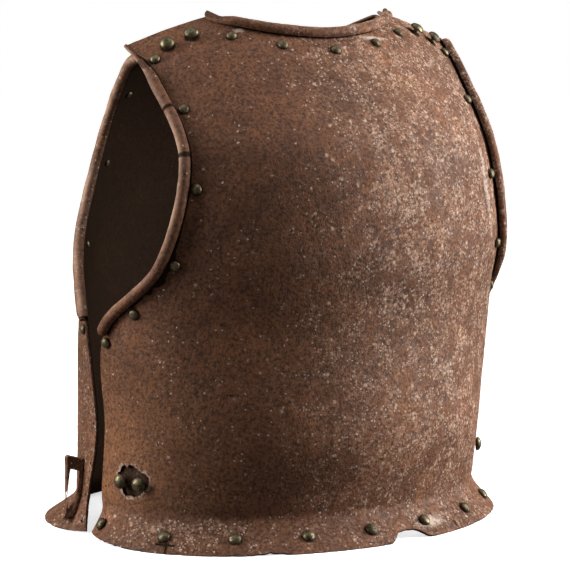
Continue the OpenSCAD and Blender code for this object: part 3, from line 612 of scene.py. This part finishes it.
def groove_marks(plate, grooves, points):
    """How deep each point lies in the grooves, in millimetres, and how dark the painted shade in them is
    there.
    """
    depths, darkness = np.zeros(len(points)), np.zeros(len(points))
    for places, width, depth, dark in grooves:
        inside = 1 - smooth(line_distance(plate, places, points), width * 0.35, width)
        depths = np.maximum(depths, depth * inside)
        darkness = np.maximum(darkness, dark * inside)
    return depths, darkness


def finish_sheet(bm, plate, sizes, name, grooves, seed):
    """Gives a sheet its thickness, pits and grooves, and places it in the frame."""
    bm.normal_update()
    work = mesh_from(bm, name)
    thickness = {
        "thickness": plate.sheet, "offset": 0, "use_rim": True, "use_even_offset": False,
        "vertex_group": "body", "thickness_vertex_group": sizes.rolled_sheet / MM / plate.sheet,
    }
    mesh = with_modifiers(name, work, ("SOLIDIFY", thickness))
    bpy.data.meshes.remove(work)
    points, normals = read_mesh(mesh), read_normals(mesh)
    pits = sizes.pits / MM * (wobble(points, 5, seed) + 0.8 * np.minimum(wobble(points, 9, seed + 1), 0))
    deep, dark = groove_marks(plate, grooves, points)
    outer = (1 - on_inside(plate, mesh, points)) * (read_attribute(mesh, "roll") <= 0)
    points += normals * (pits - deep * outer)[:, None]
    write_mesh(mesh, (points + SHIFT) * MM)
    return mesh, points, dark * outer


def on_inside(plate, mesh, points):
    """1 for the vertices of a sheet's inner skin."""
    share, level, roll = (read_attribute(mesh, name) for name in ("share", "level", "roll"))
    offset = ((points - plate.point(share, level)) * plate.normal(share, level)).sum(-1)
    return np.where((roll <= 0) & (offset < 0), 1.0, 0.0)


def near(share, level, place, width, height):
    """1 at a place on the sheet, falling to 0 across a width in shares and a height in levels."""
    return np.exp(-(((share - place[0]) / width) ** 2) - ((level - place[1]) / height) ** 2)


def marks(share, level, spots):
    """The sum of soft spots on the sheet, each a strength, a place, a width and a height."""
    return sum(strength * near(share, level, *spot) for strength, *spot in spots)


def edge_distance(plate, share, level):
    """Distance in from the armhole's edge, in millimetres."""
    return (1 - np.abs(share)) * np.linalg.norm(plate.across(share, level), axis=-1)


def shader_node(tree, kind, inputs=None, output=0, **settings):
    """Makes a shader node, links or sets its inputs, and gives its output."""
    made = tree.nodes.new(kind)
    for key, value in settings.items():
        setattr(made, key, value)
    for key, value in (inputs or {}).items():
        if isinstance(value, bpy.types.NodeSocket):
            tree.links.new(value, made.inputs[key])
        else:
            made.inputs[key].default_value = value
    return made.outputs[output]


def cloud(tree, where, size, detail=5, roughness=0.6, distortion=0.0):
    """Noise with features of a size in metres."""
    settings = {"Vector": where, "Scale": 1 / size, "Detail": detail, "Roughness": roughness,
                "Distortion": distortion}
    return shader_node(tree, "ShaderNodeTexNoise", settings)


def between(tree, value, low, high, start=0.0, end=1.0):
    """A value's way from low to high, eased, as a number from start to end."""
    settings = {"Value": value, "From Min": low, "From Max": high, "To Min": start, "To Max": end}
    return shader_node(tree, "ShaderNodeMapRange", settings, interpolation_type="SMOOTHSTEP")


def maths(tree, operation, a, b=0.0):
    return shader_node(tree, "ShaderNodeMath", {0: a, 1: b}, operation=operation)


def blend_colours(tree, share, a, b):
    """Colour a, or b where the share is 1. Each is a socket or three numbers."""
    a, b = (c if isinstance(c, bpy.types.NodeSocket) else (*c, 1) for c in (a, b))
    return shader_node(tree, "ShaderNodeMix", {0: share, 6: a, 7: b}, 2, data_type="RGBA")


def attribute(tree, name):
    return shader_node(tree, "ShaderNodeAttribute", {}, 2, attribute_name=name)


def cell_noise(tree, where, size):
    """Cells of a size in metres: a random value for each, and the distance from its middle."""
    cells = tree.nodes.new("ShaderNodeTexVoronoi")
    tree.links.new(where, cells.inputs["Vector"])
    cells.inputs["Scale"].default_value = 1 / size
    chance = shader_node(tree, "ShaderNodeSeparateColor", {0: cells.outputs["Color"]})
    return chance, cells.outputs["Distance"]


def jitter(tree, where):
    """A small random offset, which makes the outlines of cells ragged."""
    settings = {"Vector": where, "Scale": 900.0, "Detail": 2.0}
    colour = shader_node(tree, "ShaderNodeTexNoise", settings, 1)
    middled = shader_node(tree, "ShaderNodeVectorMath", {0: colour, 1: (0.5, 0.5, 0.5)}, operation="SUBTRACT")
    return shader_node(tree, "ShaderNodeVectorMath", {0: middled, "Scale": 0.0028}, operation="SCALE")


def spot_layer(tree, chance, distance, amount, share):
    """Soft round spots in some of the cells, more of them where the amount is high."""
    limit = maths(tree, "SUBTRACT", 1.0, maths(tree, "MULTIPLY", amount, share))
    lucky = between(tree, maths(tree, "SUBTRACT", chance, limit), 0, 0.08)
    return maths(tree, "MULTIPLY", lucky, between(tree, distance, 0.5, 0.15))


def new_material(name):
    material = bpy.data.materials.new(name)
    material.use_nodes = True
    tree = material.node_tree
    tree.nodes.clear()
    shader = tree.nodes.new("ShaderNodeBsdfPrincipled")
    end = tree.nodes.new("ShaderNodeOutputMaterial")
    tree.links.new(shader.outputs[0], end.inputs[0])
    where = shader_node(tree, "ShaderNodeTexCoord", {}, 3)
    return material, tree, shader, where


# Sizes of the rust's patches, mottle, grain, flakes and clusters of flakes
PATCHES, MOTTLE, GRAIN = 90 * MM, 10 * MM, 2.6 * MM
FLAKES, LARGE_FLAKES, CLUSTERS = 2.1 * MM, 4.4 * MM, 14 * MM


def rusted_iron(name, speckled=True, painted_light=1.0):
    """Rusted sheet: mottled browns, fine pale specks and crust from the mesh's attributes, with painted shade
    and grime and a painted highlight on the rolls. The third argument scales the browns: below 1 it paints a
    copy in shade, above 1 it paints it lighter as if lit.
    """
    colours = bpy.context.scene.cuirass_finishes
    material, tree, shader, where = new_material(name)
    patches = cloud(tree, where, PATCHES, 6, 0.7, 0.3)
    mottle = cloud(tree, where, MOTTLE, 6, 0.7)
    grain = cloud(tree, where, GRAIN, 4, 0.75)
    rust = tuple(c * painted_light for c in colours.rust)
    earth = tuple(c * painted_light for c in colours.earth)
    colour = blend_colours(tree, between(tree, patches, 0.3, 0.72, 0.15, 1), earth, rust)
    fresh = maths(tree, "MULTIPLY", between(tree, mottle, 0.5, 0.72),
                  between(tree, patches, 0.45, 0.7, 0.15, 0.8))
    fresh = maths(tree, "MAXIMUM", fresh, attribute(tree, "orange"))
    colour = blend_colours(tree, fresh, colour, tuple(c * painted_light for c in colours.orange))
    colour = blend_colours(tree, between(tree, mottle, 0.5, 0.28, 0, 0.6), colour, earth)
    colour = blend_colours(tree, between(tree, grain, 0.34, 0.58, 0.72, 0), colour, colours.grime)
    cells, distance = cell_noise(tree, where, FLAKES)
    if speckled:
        amount = maths(tree, "MULTIPLY", attribute(tree, "speckle"),
                       between(tree, cloud(tree, where, CLUSTERS, 5, 0.7), 0.36, 0.66, 0.05, 1.7))
        torn = shader_node(tree, "ShaderNodeVectorMath", {0: where, 1: jitter(tree, where)}, operation="ADD")
        small_chance, small_distance = cell_noise(tree, torn, FLAKES)
        large_chance, large_distance = cell_noise(tree, torn, LARGE_FLAKES)
        spots = maths(tree, "MAXIMUM", spot_layer(tree, small_chance, small_distance, amount, 0.85),
                      spot_layer(tree, large_chance, large_distance, amount, 0.4))
        haze = maths(tree, "MULTIPLY", amount, between(tree, grain, 0.45, 0.65, 0.0, 0.6))
        tint = blend_colours(tree, between(tree, cells, 0.6, 1.1), colours.speck_and_highlight, colours.crust)
        pale = maths(tree, "MULTIPLY", maths(tree, "MAXIMUM", spots, haze), 0.85)
        colour = blend_colours(tree, pale, colour, tint)
        crusty = maths(tree, "ADD", attribute(tree, "crust"), maths(tree, "MULTIPLY", grain, 0.9))
        colour = blend_colours(tree, between(tree, crusty, 0.8, 1.3, 0, 0.85), colour, colours.crust)
        # Painted highlight: the crest of the rolls is lightened towards the speck colour
        painted_highlight = maths(tree, "MULTIPLY", attribute(tree, "worn"), between(tree, mottle, 0.35, 0.6, 0.35, 0.8))
        colour = blend_colours(tree, painted_highlight, colour, colours.speck_and_highlight)
    # Painted shade, with some dirt: the attribute darkens the recesses, the inner skin and the rings round
    # the rivets towards the dark colour, and takes off the specular shine there
    shade_and_dirt = maths(tree, "ADD", attribute(tree, "grime"), maths(tree, "MULTIPLY", mottle, 0.5))
    colour = blend_colours(tree, between(tree, shade_and_dirt, 0.55, 1.05, 0, 0.93), colour, colours.grime)
    tree.links.new(colour, shader.inputs["Base Color"])
    rough = between(tree, mottle, 0.3, 0.7, 0.56, 0.82)
    tree.links.new(rough, shader.inputs["Roughness"])
    tree.links.new(between(tree, shade_and_dirt, 0.55, 1.05, 0.2, 0.0), shader.inputs["Specular IOR Level"])
    pits = between(tree, distance, 0.0, 0.6, 0, 1)
    relief = maths(tree, "ADD", grain, maths(tree, "MULTIPLY", pits, 0.35))
    relief = maths(tree, "ADD", relief, maths(tree, "MULTIPLY", mottle, 1.6))
    bump = shader_node(tree, "ShaderNodeBump", {"Strength": 0.55, "Distance": 0.0006, "Height": relief})
    tree.links.new(bump, shader.inputs["Normal"])
    return material


def tarnished_brass(name):
    """Old brass: dull olive metal, dark tarnish in the hollows."""
    colours = bpy.context.scene.cuirass_finishes
    material, tree, shader, where = new_material(name)
    film = cloud(tree, where, 0.0035, 5, 0.65)
    grain = cloud(tree, where, 0.0009, 3, 0.6)
    colour = blend_colours(tree, between(tree, film, 0.35, 0.7), colours.brass, colours.tarnish)
    colour = blend_colours(tree, between(tree, grain, 0.62, 0.8, 0, 0.5), colour, colours.crust)
    tree.links.new(colour, shader.inputs["Base Color"])
    shader.inputs["Metallic"].default_value = 0.75
    tree.links.new(between(tree, film, 0.3, 0.75, 0.34, 0.62), shader.inputs["Roughness"])
    bump = shader_node(tree, "ShaderNodeBump", {"Strength": 0.4, "Distance": 0.0003, "Height": film})
    tree.links.new(bump, shader.inputs["Normal"])
    return material


def along_hem(share):
    """Points for noise along a hem."""
    return np.stack([share * 60, 0 * share, 0 * share], -1)


def back_hem_cut(share):
    """How far the backplate's hem is eaten away, in levels."""
    points = along_hem(share)
    ragged = HEM_RAGGED * np.maximum(wobble(points, 0.9, 5), 0)
    middle, width, depth = HEM_TEAR
    torn = depth * near(share, 0, (middle, 0), width, 1) * (0.6 + 0.4 * wobble(points, 0.35, 6))
    middle, width, depth = HEM_BITE
    bite = depth * np.exp(-(((share - middle) / width) ** 4))
    return ragged + torn + bite


def breast_hem_cut(share):
    """How far the breastplate's hem is worn away, in levels."""
    return HEM_RAGGED * np.maximum(wobble(along_hem(share), 1.1, 8), 0)


def painted_roll_highlight(share, level, roll, seed):
    """1 along the crest of a roll, where a highlight is painted, broken up along its run."""
    points = np.stack([share * 60, level * 12, 0 * share], -1)
    return np.exp(-(((roll - 0.42) / 0.13) ** 2)) * np.clip(0.65 + 0.8 * wobble(points, 3, seed), 0, 1)


def roll_cracks(share, level, roll):
    """1 at the cracks across the backplate's rolls, where shade is painted."""
    cracks = sum(np.exp(-(((share - place) / 0.006) ** 2)) for place in NECK_CRACKS) * (level > 7)
    cracks += sum(np.exp(-(((level - place) / 0.03) ** 2)) for place in LEFT_ARM_CRACKS) * (share > 0.9)
    return cracks * (roll > 0)


def rivet_shade_and_dirt(points, nodes):
    """Painted shade and dirt round the rivets' heads."""
    shade_and_dirt = np.zeros(len(points))
    for corners in (solid for node in nodes for solid in islands(node)):
        place, _, radius, _ = rivet_frame(corners)
        spans = np.linalg.norm(points - (np.array(place) / MM - SHIFT), axis=1) / (radius / MM)
        shade_and_dirt = np.maximum(shade_and_dirt, RIVET_SHADE_AND_DIRT * (1 - smooth(spans, 1, 1.55)))
    return shade_and_dirt


def make_backplate():
    sizes = bpy.context.scene.cuirass_plates
    bm, layers, grid = sheet_grid(BACK, sizes, back_hem_cut, 11)
    roll_edges(bm, layers, BACK, sizes, grid, top_level=BACK.last, neck_reach=1, spike=NECK_SPIKE)
    split_open(bm, [slit_chain(grid, layers, *slit) for slit in SLITS], SLIT_GAP)
    eat_away(bm, blob_field(BACK, RUST_HOLE, RUST_HOLE_ROUGHNESS, 3))
    pierce(bm, BACK, *BACK_HOLE, LINING_HOLE_RADIUS)
    grooves = GROOVES + [(slit, SLIT_DARK, 0, 1) for slit in SLITS]
    mesh, points, dark = finish_sheet(bm, BACK, sizes, "backplate_sheet", grooves, 21)
    share, level, roll = (read_attribute(mesh, name) for name in ("share", "level", "roll"))
    inside = on_inside(BACK, mesh, points)
    edge = edge_distance(BACK, share, level)
    hole, _ = blob_field(BACK, RUST_HOLE, RUST_HOLE_ROUGHNESS, 3)(points)
    neck = (BACK.top_level(share) - level) * NECK_LEVEL_RUN
    flat = roll <= 0
    # Painted shade beside the armholes' rolls, in a band that widens at the listed places and narrows near
    # the top of the left armhole
    shade_widening = marks(share, level, SHADE_WIDENING) * (1 + 0.8 * wobble(points, 5, 27))
    shade_widening -= SHADE_EDGE * smooth(level, 7.8, 8.6) * (share > 0)
    grime = np.where((level > ARM_LEVEL) & flat, smooth(edge, SHADE_EDGE + shade_widening, SHADE_FULL + shade_widening), 0)
    # Painted shade round the rim of the rust hole
    grime += 0.7 * smooth(hole, 1.4, 0.2)
    # Painted shade in the groove under the neck's roll
    grime = np.maximum(grime, np.where(flat & (np.abs(share) < BACK.neck_share), smooth(neck, 6, 3), 0))
    # Painted shade in the grooves, the slits and the cracks across the rolls
    grime = np.maximum(grime, np.maximum(dark, roll_cracks(share, level, roll)))
    # Painted shade and dirt round the rivets' heads
    grime = np.maximum(grime, flat * rivet_shade_and_dirt(points, BACK_LINING + BACK_STRAP))
    crust = marks(share, level, CRUST) + 0.56 * smooth(hole, 5.5, 1.2)
    speckle = 0.09 + 0.6 * smooth(-share, -0.45, 0.25) * (0.45 + 0.55 * smooth(level, 0.5, 3.5))
    speckle += marks(share, level, SPECKLES)
    orange = marks(share, level, ORANGE) * (0.6 + 0.5 * wobble(points, 18, 28))
    outside = 1 - inside
    # The inner skin is painted dark as shade, and the rolls' crests get a painted highlight
    write_attributes(mesh, grime=np.maximum(grime, inside), crust=crust * outside, orange=orange * outside,
                     speckle=np.where(inside > 0, INSIDE_SPECKLE, speckle),
                     worn=painted_roll_highlight(share, level, roll, 25))
    new_object("backplate_sheet", mesh, "back", ["backplate"], rusted_iron("rusted_back"))


def make_breastplate():
    sizes = bpy.context.scene.cuirass_plates
    bm, layers, grid = sheet_grid(BREAST, sizes, breast_hem_cut, 71)
    roll_edges(bm, layers, BREAST, sizes, grid, top_level=8.5, neck_reach=0.84, spike=0)
    for side in (-1, 1):
        for level in SIDE_HOLE_LEVELS:
            pierce(bm, BREAST, side_inset(BREAST, side, level, SIDE_HOLE_INSET), level, LINING_HOLE_RADIUS)
        for k in range(FLANGE_HOLES):
            pierce(bm, BREAST, side * (k + 0.5) / (FLANGE_HOLES + 0.5), FLANGE_HOLE_LEVEL, LINING_HOLE_RADIUS)
    mesh, points, _ = finish_sheet(bm, BREAST, sizes, "breastplate_sheet", [], 81)
    share, level, roll = (read_attribute(mesh, name) for name in ("share", "level", "roll"))
    inside = on_inside(BREAST, mesh, points)
    edge = edge_distance(BREAST, share, level)
    # Painted shade beside the armholes' rolls; below, the inner skin is painted in shade too and the rolls'
    # crests get a painted highlight
    grime = np.where((level > ARM_LEVEL) & (roll <= 0), smooth(edge, 8, 3), 0)
    write_attributes(mesh, grime=np.maximum(grime, inside), worn=painted_roll_highlight(share, level, roll, 85),
                     speckle=np.where(inside > 0, INSIDE_SPECKLE, BREAST_SPECKLE))
    material = rusted_iron("rusted_breast")
    new_object("breastplate_sheet", mesh, "breast", ["breastplate"], material)


def islands(node):
    """The separate solids of a CAD node, each as its corners."""
    bm = bmesh.new()
    bm.from_mesh(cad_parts[node].data)
    bmesh.ops.remove_doubles(bm, verts=bm.verts, dist=0.01 * MM)
    reached = set()
    found = []
    for start in bm.verts:
        if start in reached:
            continue
        reached.add(start)
        group = [start]
        # The group grows while it is walked through
        for vertex in group:
            for edge in vertex.link_edges:
                other = edge.other_vert(vertex)
                if other not in reached:
                    reached.add(other)
                    group.append(other)
        found.append(positions(group))
    bm.free()
    return found


def rivet_frame(corners):
    """The middle of the underside of a rivet's head, its axis, its head's radius and where its tail ends."""
    middle = corners.mean(0)
    spans, axes = np.linalg.eigh(np.cov((corners - middle).T))
    gaps = [abs(spans[1] - spans[2]), abs(spans[0] - spans[2]), abs(spans[0] - spans[1])]
    axis = axes[:, int(np.argmin(gaps))]
    heights = (corners - middle) @ axis
    radii = np.linalg.norm(corners - middle - heights[:, None] * axis, axis=1)
    rim = radii > radii.max() * 0.98
    if heights[rim].mean() < (heights.max() + heights.min()) / 2:
        axis, heights = -axis, -heights
    base = heights[rim].min()
    return Vector(middle + axis * base), Vector(axis), radii.max(), heights.min() - base


# A rivet's radii at the shank and the peened end, its end's and head edge's heights, and its facets
SHANK = 1.5 * MM
PEEN = 2.5 * MM
PEEN_HEIGHT = 0.9 * MM
HEAD_EDGE = 0.5 * MM
HEAD_STEPS = 8
ROUND_STEPS = 28
# The size of the dents in a hammered head, and the most that it leans, in radians
HEAD_DENTS = 1.6 * MM
LEAN = 0.03


def add_rivet(bm, place, axis, radius, tail, dome, wear, seed):
    """A hammered rivet: a domed head with a soft rim, a shank and a peened end, turned from a profile."""
    head = [(radius * math.cos(a), HEAD_EDGE + 2 * radius * dome * math.sin(a))
            for a in (math.pi / 2 * k / HEAD_STEPS for k in range(HEAD_STEPS + 1))]
    inner = tail + PEEN_HEIGHT
    peen = [(0, tail), (PEEN * 0.7, tail), (PEEN, (tail + inner) / 2), (PEEN * 0.9, inner), (SHANK, inner)]
    under = [(SHANK, 0), (radius * 0.93, 0), (radius, HEAD_EDGE * 0.5)]
    profile = peen + under + head[:-1] + [(0, head[-1][1])]
    points = [bm.verts.new((x, 0, z)) for x, z in profile]
    edges = [bm.edges.new(pair) for pair in zip(points, points[1:])]
    bmesh.ops.spin(bm, geom=points + edges, cent=(0, 0, 0), axis=(0, 0, 1), angle=math.tau, steps=ROUND_STEPS,
                   use_merge=True)
    bmesh.ops.remove_doubles(bm, verts=[v for v in bm.verts if not v.tag], dist=0.01 * MM)
    whole = [v for v in bm.verts if not v.tag]
    random.seed(seed)
    offset = Vector((random.uniform(0, 50), random.uniform(0, 50), random.uniform(0, 50)))
    for vertex in whole:
        if vertex.co.z > 0:
            vertex.co += vertex.co.normalized() * wear * noise.noise(vertex.co / HEAD_DENTS + offset)
    turn = axis.to_track_quat("Z", "Y").to_matrix().to_4x4()
    lean_x = Matrix.Rotation(random.uniform(-LEAN, LEAN), 4, "X")
    lean_y = Matrix.Rotation(random.uniform(-LEAN, LEAN), 4, "Y")
    bmesh.ops.transform(bm, verts=whole, matrix=Matrix.Translation(place) @ turn @ lean_x @ lean_y)
    for vertex in whole:
        vertex.tag = True


def make_rivets(nodes, body, material, seed):
    sizes = bpy.context.scene.cuirass_rivets
    for node in nodes:
        bm = bmesh.new()
        for k, corners in enumerate(islands(node)):
            place, axis, radius, tail = rivet_frame(corners)
            add_rivet(bm, place, axis, radius, tail, sizes.dome, sizes.wear, seed + k)
        bmesh.ops.recalc_face_normals(bm, faces=bm.faces)
        new_object(node + "_heads", mesh_from(bm, node + "_heads"), body, [node], material)


def node_copy(node):
    """A merged copy of a CAD node's mesh with its flat faces joined again."""
    bm = bmesh.new()
    bm.from_mesh(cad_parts[node].data)
    bmesh.ops.remove_doubles(bm, verts=bm.verts, dist=0.01 * MM)
    bmesh.ops.dissolve_limit(bm, angle_limit=math.radians(1.5), verts=bm.verts, edges=bm.edges)
    return bm


# Edges sharper than this stay crisp on worn bars and plates
WORN_ANGLE = math.radians(60)
# How finely the worn surfaces are made
LOOP_VOXEL = 0.55 * MM
WASHER_VOXEL = 0.5 * MM
# Below this height a loop widens to its foot, by this share
LOOP_FOOT = 27 * MM
LOOP_SPREAD = 0.75


def make_belt_loop(name, node, material):
    """A forged belt loop: the bar's corners worn round, its face uneven, and its foot drawn out wide."""
    mesh = mesh_from(node_copy(node), name)
    mesh = with_modifiers(name, mesh, ("REMESH", {"mode": "VOXEL", "voxel_size": LOOP_VOXEL}),
                          ("SMOOTH", {"factor": 0.5, "iterations": 4}))
    points = read_mesh(mesh)
    low, high = points.min(0), points.max(0)
    middle = (low[1] + high[1]) / 2
    spread = 1 + LOOP_SPREAD * smooth(LOOP_FOOT - points[:, 2], 0, LOOP_FOOT - low[2])
    points[:, 1] = middle + (points[:, 1] - middle) * spread
    write_mesh(mesh, points)
    uneven = 0.22 * wobble(points / MM, 7, 91) + 0.1 * wobble(points / MM, 2.5, 92)
    points += read_normals(mesh) * (uneven * MM)[:, None]
    write_mesh(mesh, points)
    # Painted shade on the loop's foot, darker towards its bottom
    write_attributes(mesh, speckle=0.2, grime=0.5 * smooth(LOOP_FOOT * 0.6 - points[:, 2], 0, 0.01))
    new_object(name, mesh, "breast", [node], material, WORN_ANGLE)


def make_washer(name, node, material):
    """A corroded plate behind the belt rivets."""
    bm = node_copy(node)
    bmesh.ops.triangulate(bm, faces=bm.faces)
    mesh = mesh_from(bm, name)
    mesh = with_modifiers(name, mesh, ("REMESH", {"mode": "VOXEL", "voxel_size": WASHER_VOXEL}),
                          ("SMOOTH", {"factor": 0.5, "iterations": 2}))
    points = read_mesh(mesh)
    points += read_normals(mesh) * (0.12 * MM * wobble(points / MM, 3, 95))[:, None]
    write_mesh(mesh, points)
    # Painted shade: the plate is darkened all over
    write_attributes(mesh, speckle=0.15, grime=0.62)
    new_object(name, mesh, "back", [node], material, WORN_ANGLE)


WIRES = ["back_neck_wire", "back_arm_wire_left", "back_arm_wire_right", "breast_neck_wire",
         "breast_arm_wire_left", "breast_arm_wire_right"]
BACK_LINING = ["back_neck_rivets", "back_arm_rivets_left", "back_arm_rivets_right", "back_waist_rivets"]
BREAST_LINING = ["breast_neck_rivets", "breast_arm_rivets_left", "breast_arm_rivets_right"]
BACK_STRAP = ["strap_rivets_left", "strap_rivets_right", "belt_rivets_left", "belt_rivets_right"]
BREAST_STRAP = ["strap_stud_left", "strap_stud_right"]
LOOP_RIVETS = ["loop_rivets_left", "loop_rivets_right"]


class CUIRASS_OT_backplate(bpy.types.Operator):
    """Make the backplate's sheet with its rolled edges and rust"""

    bl_idname = "cuirass.backplate"
    bl_label = "Backplate"

    def execute(self, context):
        make_backplate()
        return {"FINISHED"}


class CUIRASS_OT_breastplate(bpy.types.Operator):
    """Make the breastplate's sheet with its rolled edges and rust"""

    bl_idname = "cuirass.breastplate"
    bl_label = "Breastplate"

    def execute(self, context):
        make_breastplate()
        return {"FINISHED"}


class CUIRASS_OT_wires(bpy.types.Operator):
    """Rust the wires inside the rolled edges and the belt loops' rivets"""

    bl_idname = "cuirass.wires"
    bl_label = "Wires and loop rivets"

    def execute(self, context):
        # A copy of the rust darkened to 0.7 as painted shade for the wires hidden in the rolls; the loops'
        # rivets share it
        material = rusted_iron("rusted_wire", False, 0.7)
        for name in WIRES + LOOP_RIVETS:
            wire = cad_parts[name]
            wire.data.materials.clear()
            wire.data.materials.append(material)
        return {"FINISHED"}


class CUIRASS_OT_rivets(bpy.types.Operator):
    """Make the lining, strap and belt rivets"""

    bl_idname = "cuirass.rivets"
    bl_label = "Rivets"

    def execute(self, context):
        brass = tarnished_brass("tarnished_brass")
        make_rivets(BACK_LINING, "back", brass, 200)
        make_rivets(BREAST_LINING, "breast", brass, 300)
        make_rivets(BACK_STRAP, "back", brass, 400)
        make_rivets(BREAST_STRAP, "breast", brass, 500)
        return {"FINISHED"}


class CUIRASS_OT_belt_loops(bpy.types.Operator):
    """Make the forged belt loops"""

    bl_idname = "cuirass.belt_loops"
    bl_label = "Belt loops"

    def execute(self, context):
        # A copy of the rust lightened by 1.05 as painted light
        material = rusted_iron("rusted_loop", True, 1.05)
        make_belt_loop("belt_loop_left_bar", "belt_loop_left", material)
        make_belt_loop("belt_loop_right_bar", "belt_loop_right", material)
        return {"FINISHED"}


class CUIRASS_OT_washers(bpy.types.Operator):
    """Make the plates behind the belt rivets"""

    bl_idname = "cuirass.washers"
    bl_label = "Plates behind the belt rivets"

    def execute(self, context):
        # A copy of the rust darkened to half as painted shade for the plates behind the belt rivets
        material = rusted_iron("rusted_washer", True, 0.5)
        make_washer("belt_washer_left_plate", "belt_washer_left", material)
        make_washer("belt_washer_right_plate", "belt_washer_right", material)
        return {"FINISHED"}


# The camera's target, in millimetres from the surfaces' own origin
TARGET = (2.43, 3.18, 184.66)
# Half the floor's width, in metres
FLOOR_HALF = 20


def softbox(name, direction, distance, width, height, power, target):
    """A large area light that faces the object."""
    data = bpy.data.lights.new(name, "AREA")
    data.shape = "RECTANGLE"
    data.size = width
    data.size_y = height
    data.energy = power
    light = bpy.data.objects.new(name, data)
    bpy.context.scene.collection.objects.link(light)
    light.location = target + direction.normalized() * distance
    light.rotation_euler = direction.to_track_quat("Z", "Y").to_euler()


def make_camera(studio, target, back):
    data = bpy.data.cameras.new("camera")
    data.lens = studio.lens
    camera = bpy.data.objects.new("camera", data)
    bpy.context.scene.collection.objects.link(camera)
    camera.location = target + back * studio.distance
    camera.rotation_euler = back.to_track_quat("Z", "Y").to_euler()
    bpy.context.scene.camera = camera


def make_lights(studio, target, back, right):
    """A softbox at each side of the camera and a soft sun from above."""
    up = Vector((0, 0, 1))
    softbox("right_softbox", right - back * 0.06 + up * 0.3, 1.6, 0.9, 1.7, studio.right, target)
    softbox("left_softbox", -right + back * 0.22 + up * 0.35, 1.7, 0.6, 1.5, studio.left, target)
    sky = bpy.data.lights.new("top_light", "SUN")
    sky.energy = studio.top
    sky.angle = math.radians(70)
    bpy.context.scene.collection.objects.link(bpy.data.objects.new("top_light", sky))


def make_floor(glow):
    """A white floor with a faint light of its own, which lights nothing else."""
    bm = bmesh.new()
    bmesh.ops.create_grid(bm, x_segments=4, y_segments=4, size=FLOOR_HALF)
    floor = bpy.data.objects.new("floor", mesh_from(bm, "floor"))
    bpy.context.scene.collection.objects.link(floor)
    material, tree, shader, where = new_material("pale_floor")
    tone = between(tree, cloud(tree, where, 0.5), 0.3, 0.7, 0.0, 1.0)
    colour = blend_colours(tree, tone, (0.88, 0.88, 0.88), (0.9, 0.9, 0.9))
    tree.links.new(colour, shader.inputs["Base Color"])
    shader.inputs["Roughness"].default_value = 0.9
    shader.inputs["Specular IOR Level"].default_value = 0.0
    shader.inputs["Emission Color"].default_value = (1, 1, 1, 1)
    shader.inputs["Emission Strength"].default_value = glow
    floor.data.materials.append(material)
    floor.visible_diffuse = False
    floor.visible_glossy = False


def make_world(fill):
    """A white background, of which little light falls on the object."""
    world = bpy.data.worlds.new("studio")
    world.use_nodes = True
    bpy.context.scene.world = world
    tree = world.node_tree
    tree.nodes.clear()
    seen = shader_node(tree, "ShaderNodeLightPath", {}, 0)
    pale = shader_node(tree, "ShaderNodeBackground", {"Color": (1, 1, 1, 1), "Strength": 1.0})
    dim = shader_node(tree, "ShaderNodeBackground", {"Color": (1, 1, 1, 1), "Strength": fill})
    both = shader_node(tree, "ShaderNodeMixShader", {0: seen, 1: dim, 2: pale})
    tree.links.new(both, tree.nodes.new("ShaderNodeOutputWorld").inputs[0])


class CUIRASS_OT_studio(bpy.types.Operator):
    """Make the floor, the lights and the camera"""

    bl_idname = "cuirass.studio"
    bl_label = "Studio"

    def execute(self, context):
        studio = context.scene.cuirass_studio
        azimuth, elevation = studio.azimuth, studio.elevation
        target = Vector((np.array(TARGET) + SHIFT) * MM)
        # azimuth 0 looks along +Y, from -Y
        back = Vector((math.sin(azimuth) * math.cos(elevation), -math.cos(azimuth) * math.cos(elevation),
                       math.sin(elevation)))
        right = Vector((math.cos(azimuth), math.sin(azimuth), 0))
        make_camera(studio, target, back)
        make_lights(studio, target, back, right)
        make_floor(studio.floor_glow)
        make_world(studio.fill)
        context.scene.view_settings.view_transform = "Standard"
        return {"FINISHED"}


class CUIRASS_PT_panel(bpy.types.Panel):
    """The cuirass's pieces and the studio"""

    bl_idname = "CUIRASS_PT_panel"
    bl_label = "Cuirass"
    bl_space_type = "VIEW_3D"
    bl_region_type = "UI"
    bl_category = PANEL_TAB

    def draw(self, context):
        for kind in OPERATORS:
            self.layout.operator(kind.bl_idname)


OPERATORS = (CUIRASS_OT_studio, CUIRASS_OT_backplate, CUIRASS_OT_breastplate, CUIRASS_OT_wires,
             CUIRASS_OT_rivets, CUIRASS_OT_belt_loops, CUIRASS_OT_washers)
GROUPS = {
    "cuirass_plates": PlateSizes,
    "cuirass_rivets": RivetSizes,
    "cuirass_finishes": Finishes,
    "cuirass_studio": StudioSettings,
}


def register():
    for kind in (*GROUPS.values(), *OPERATORS, CUIRASS_PT_panel):
        bpy.utils.register_class(kind)
    for name, kind in GROUPS.items():
        setattr(bpy.types.Scene, name, PointerProperty(type=kind))


def unregister():
    for name in GROUPS:
        delattr(bpy.types.Scene, name)
    for kind in reversed((*GROUPS.values(), *OPERATORS, CUIRASS_PT_panel)):
        bpy.utils.unregister_class(kind)


def main():
    register()
    for kind in OPERATORS:
        group, action = kind.bl_idname.split(".")
        getattr(getattr(bpy.ops, group), action)()
    bpy.context.view_layer.update()


if __name__ == "__main__":
    main()
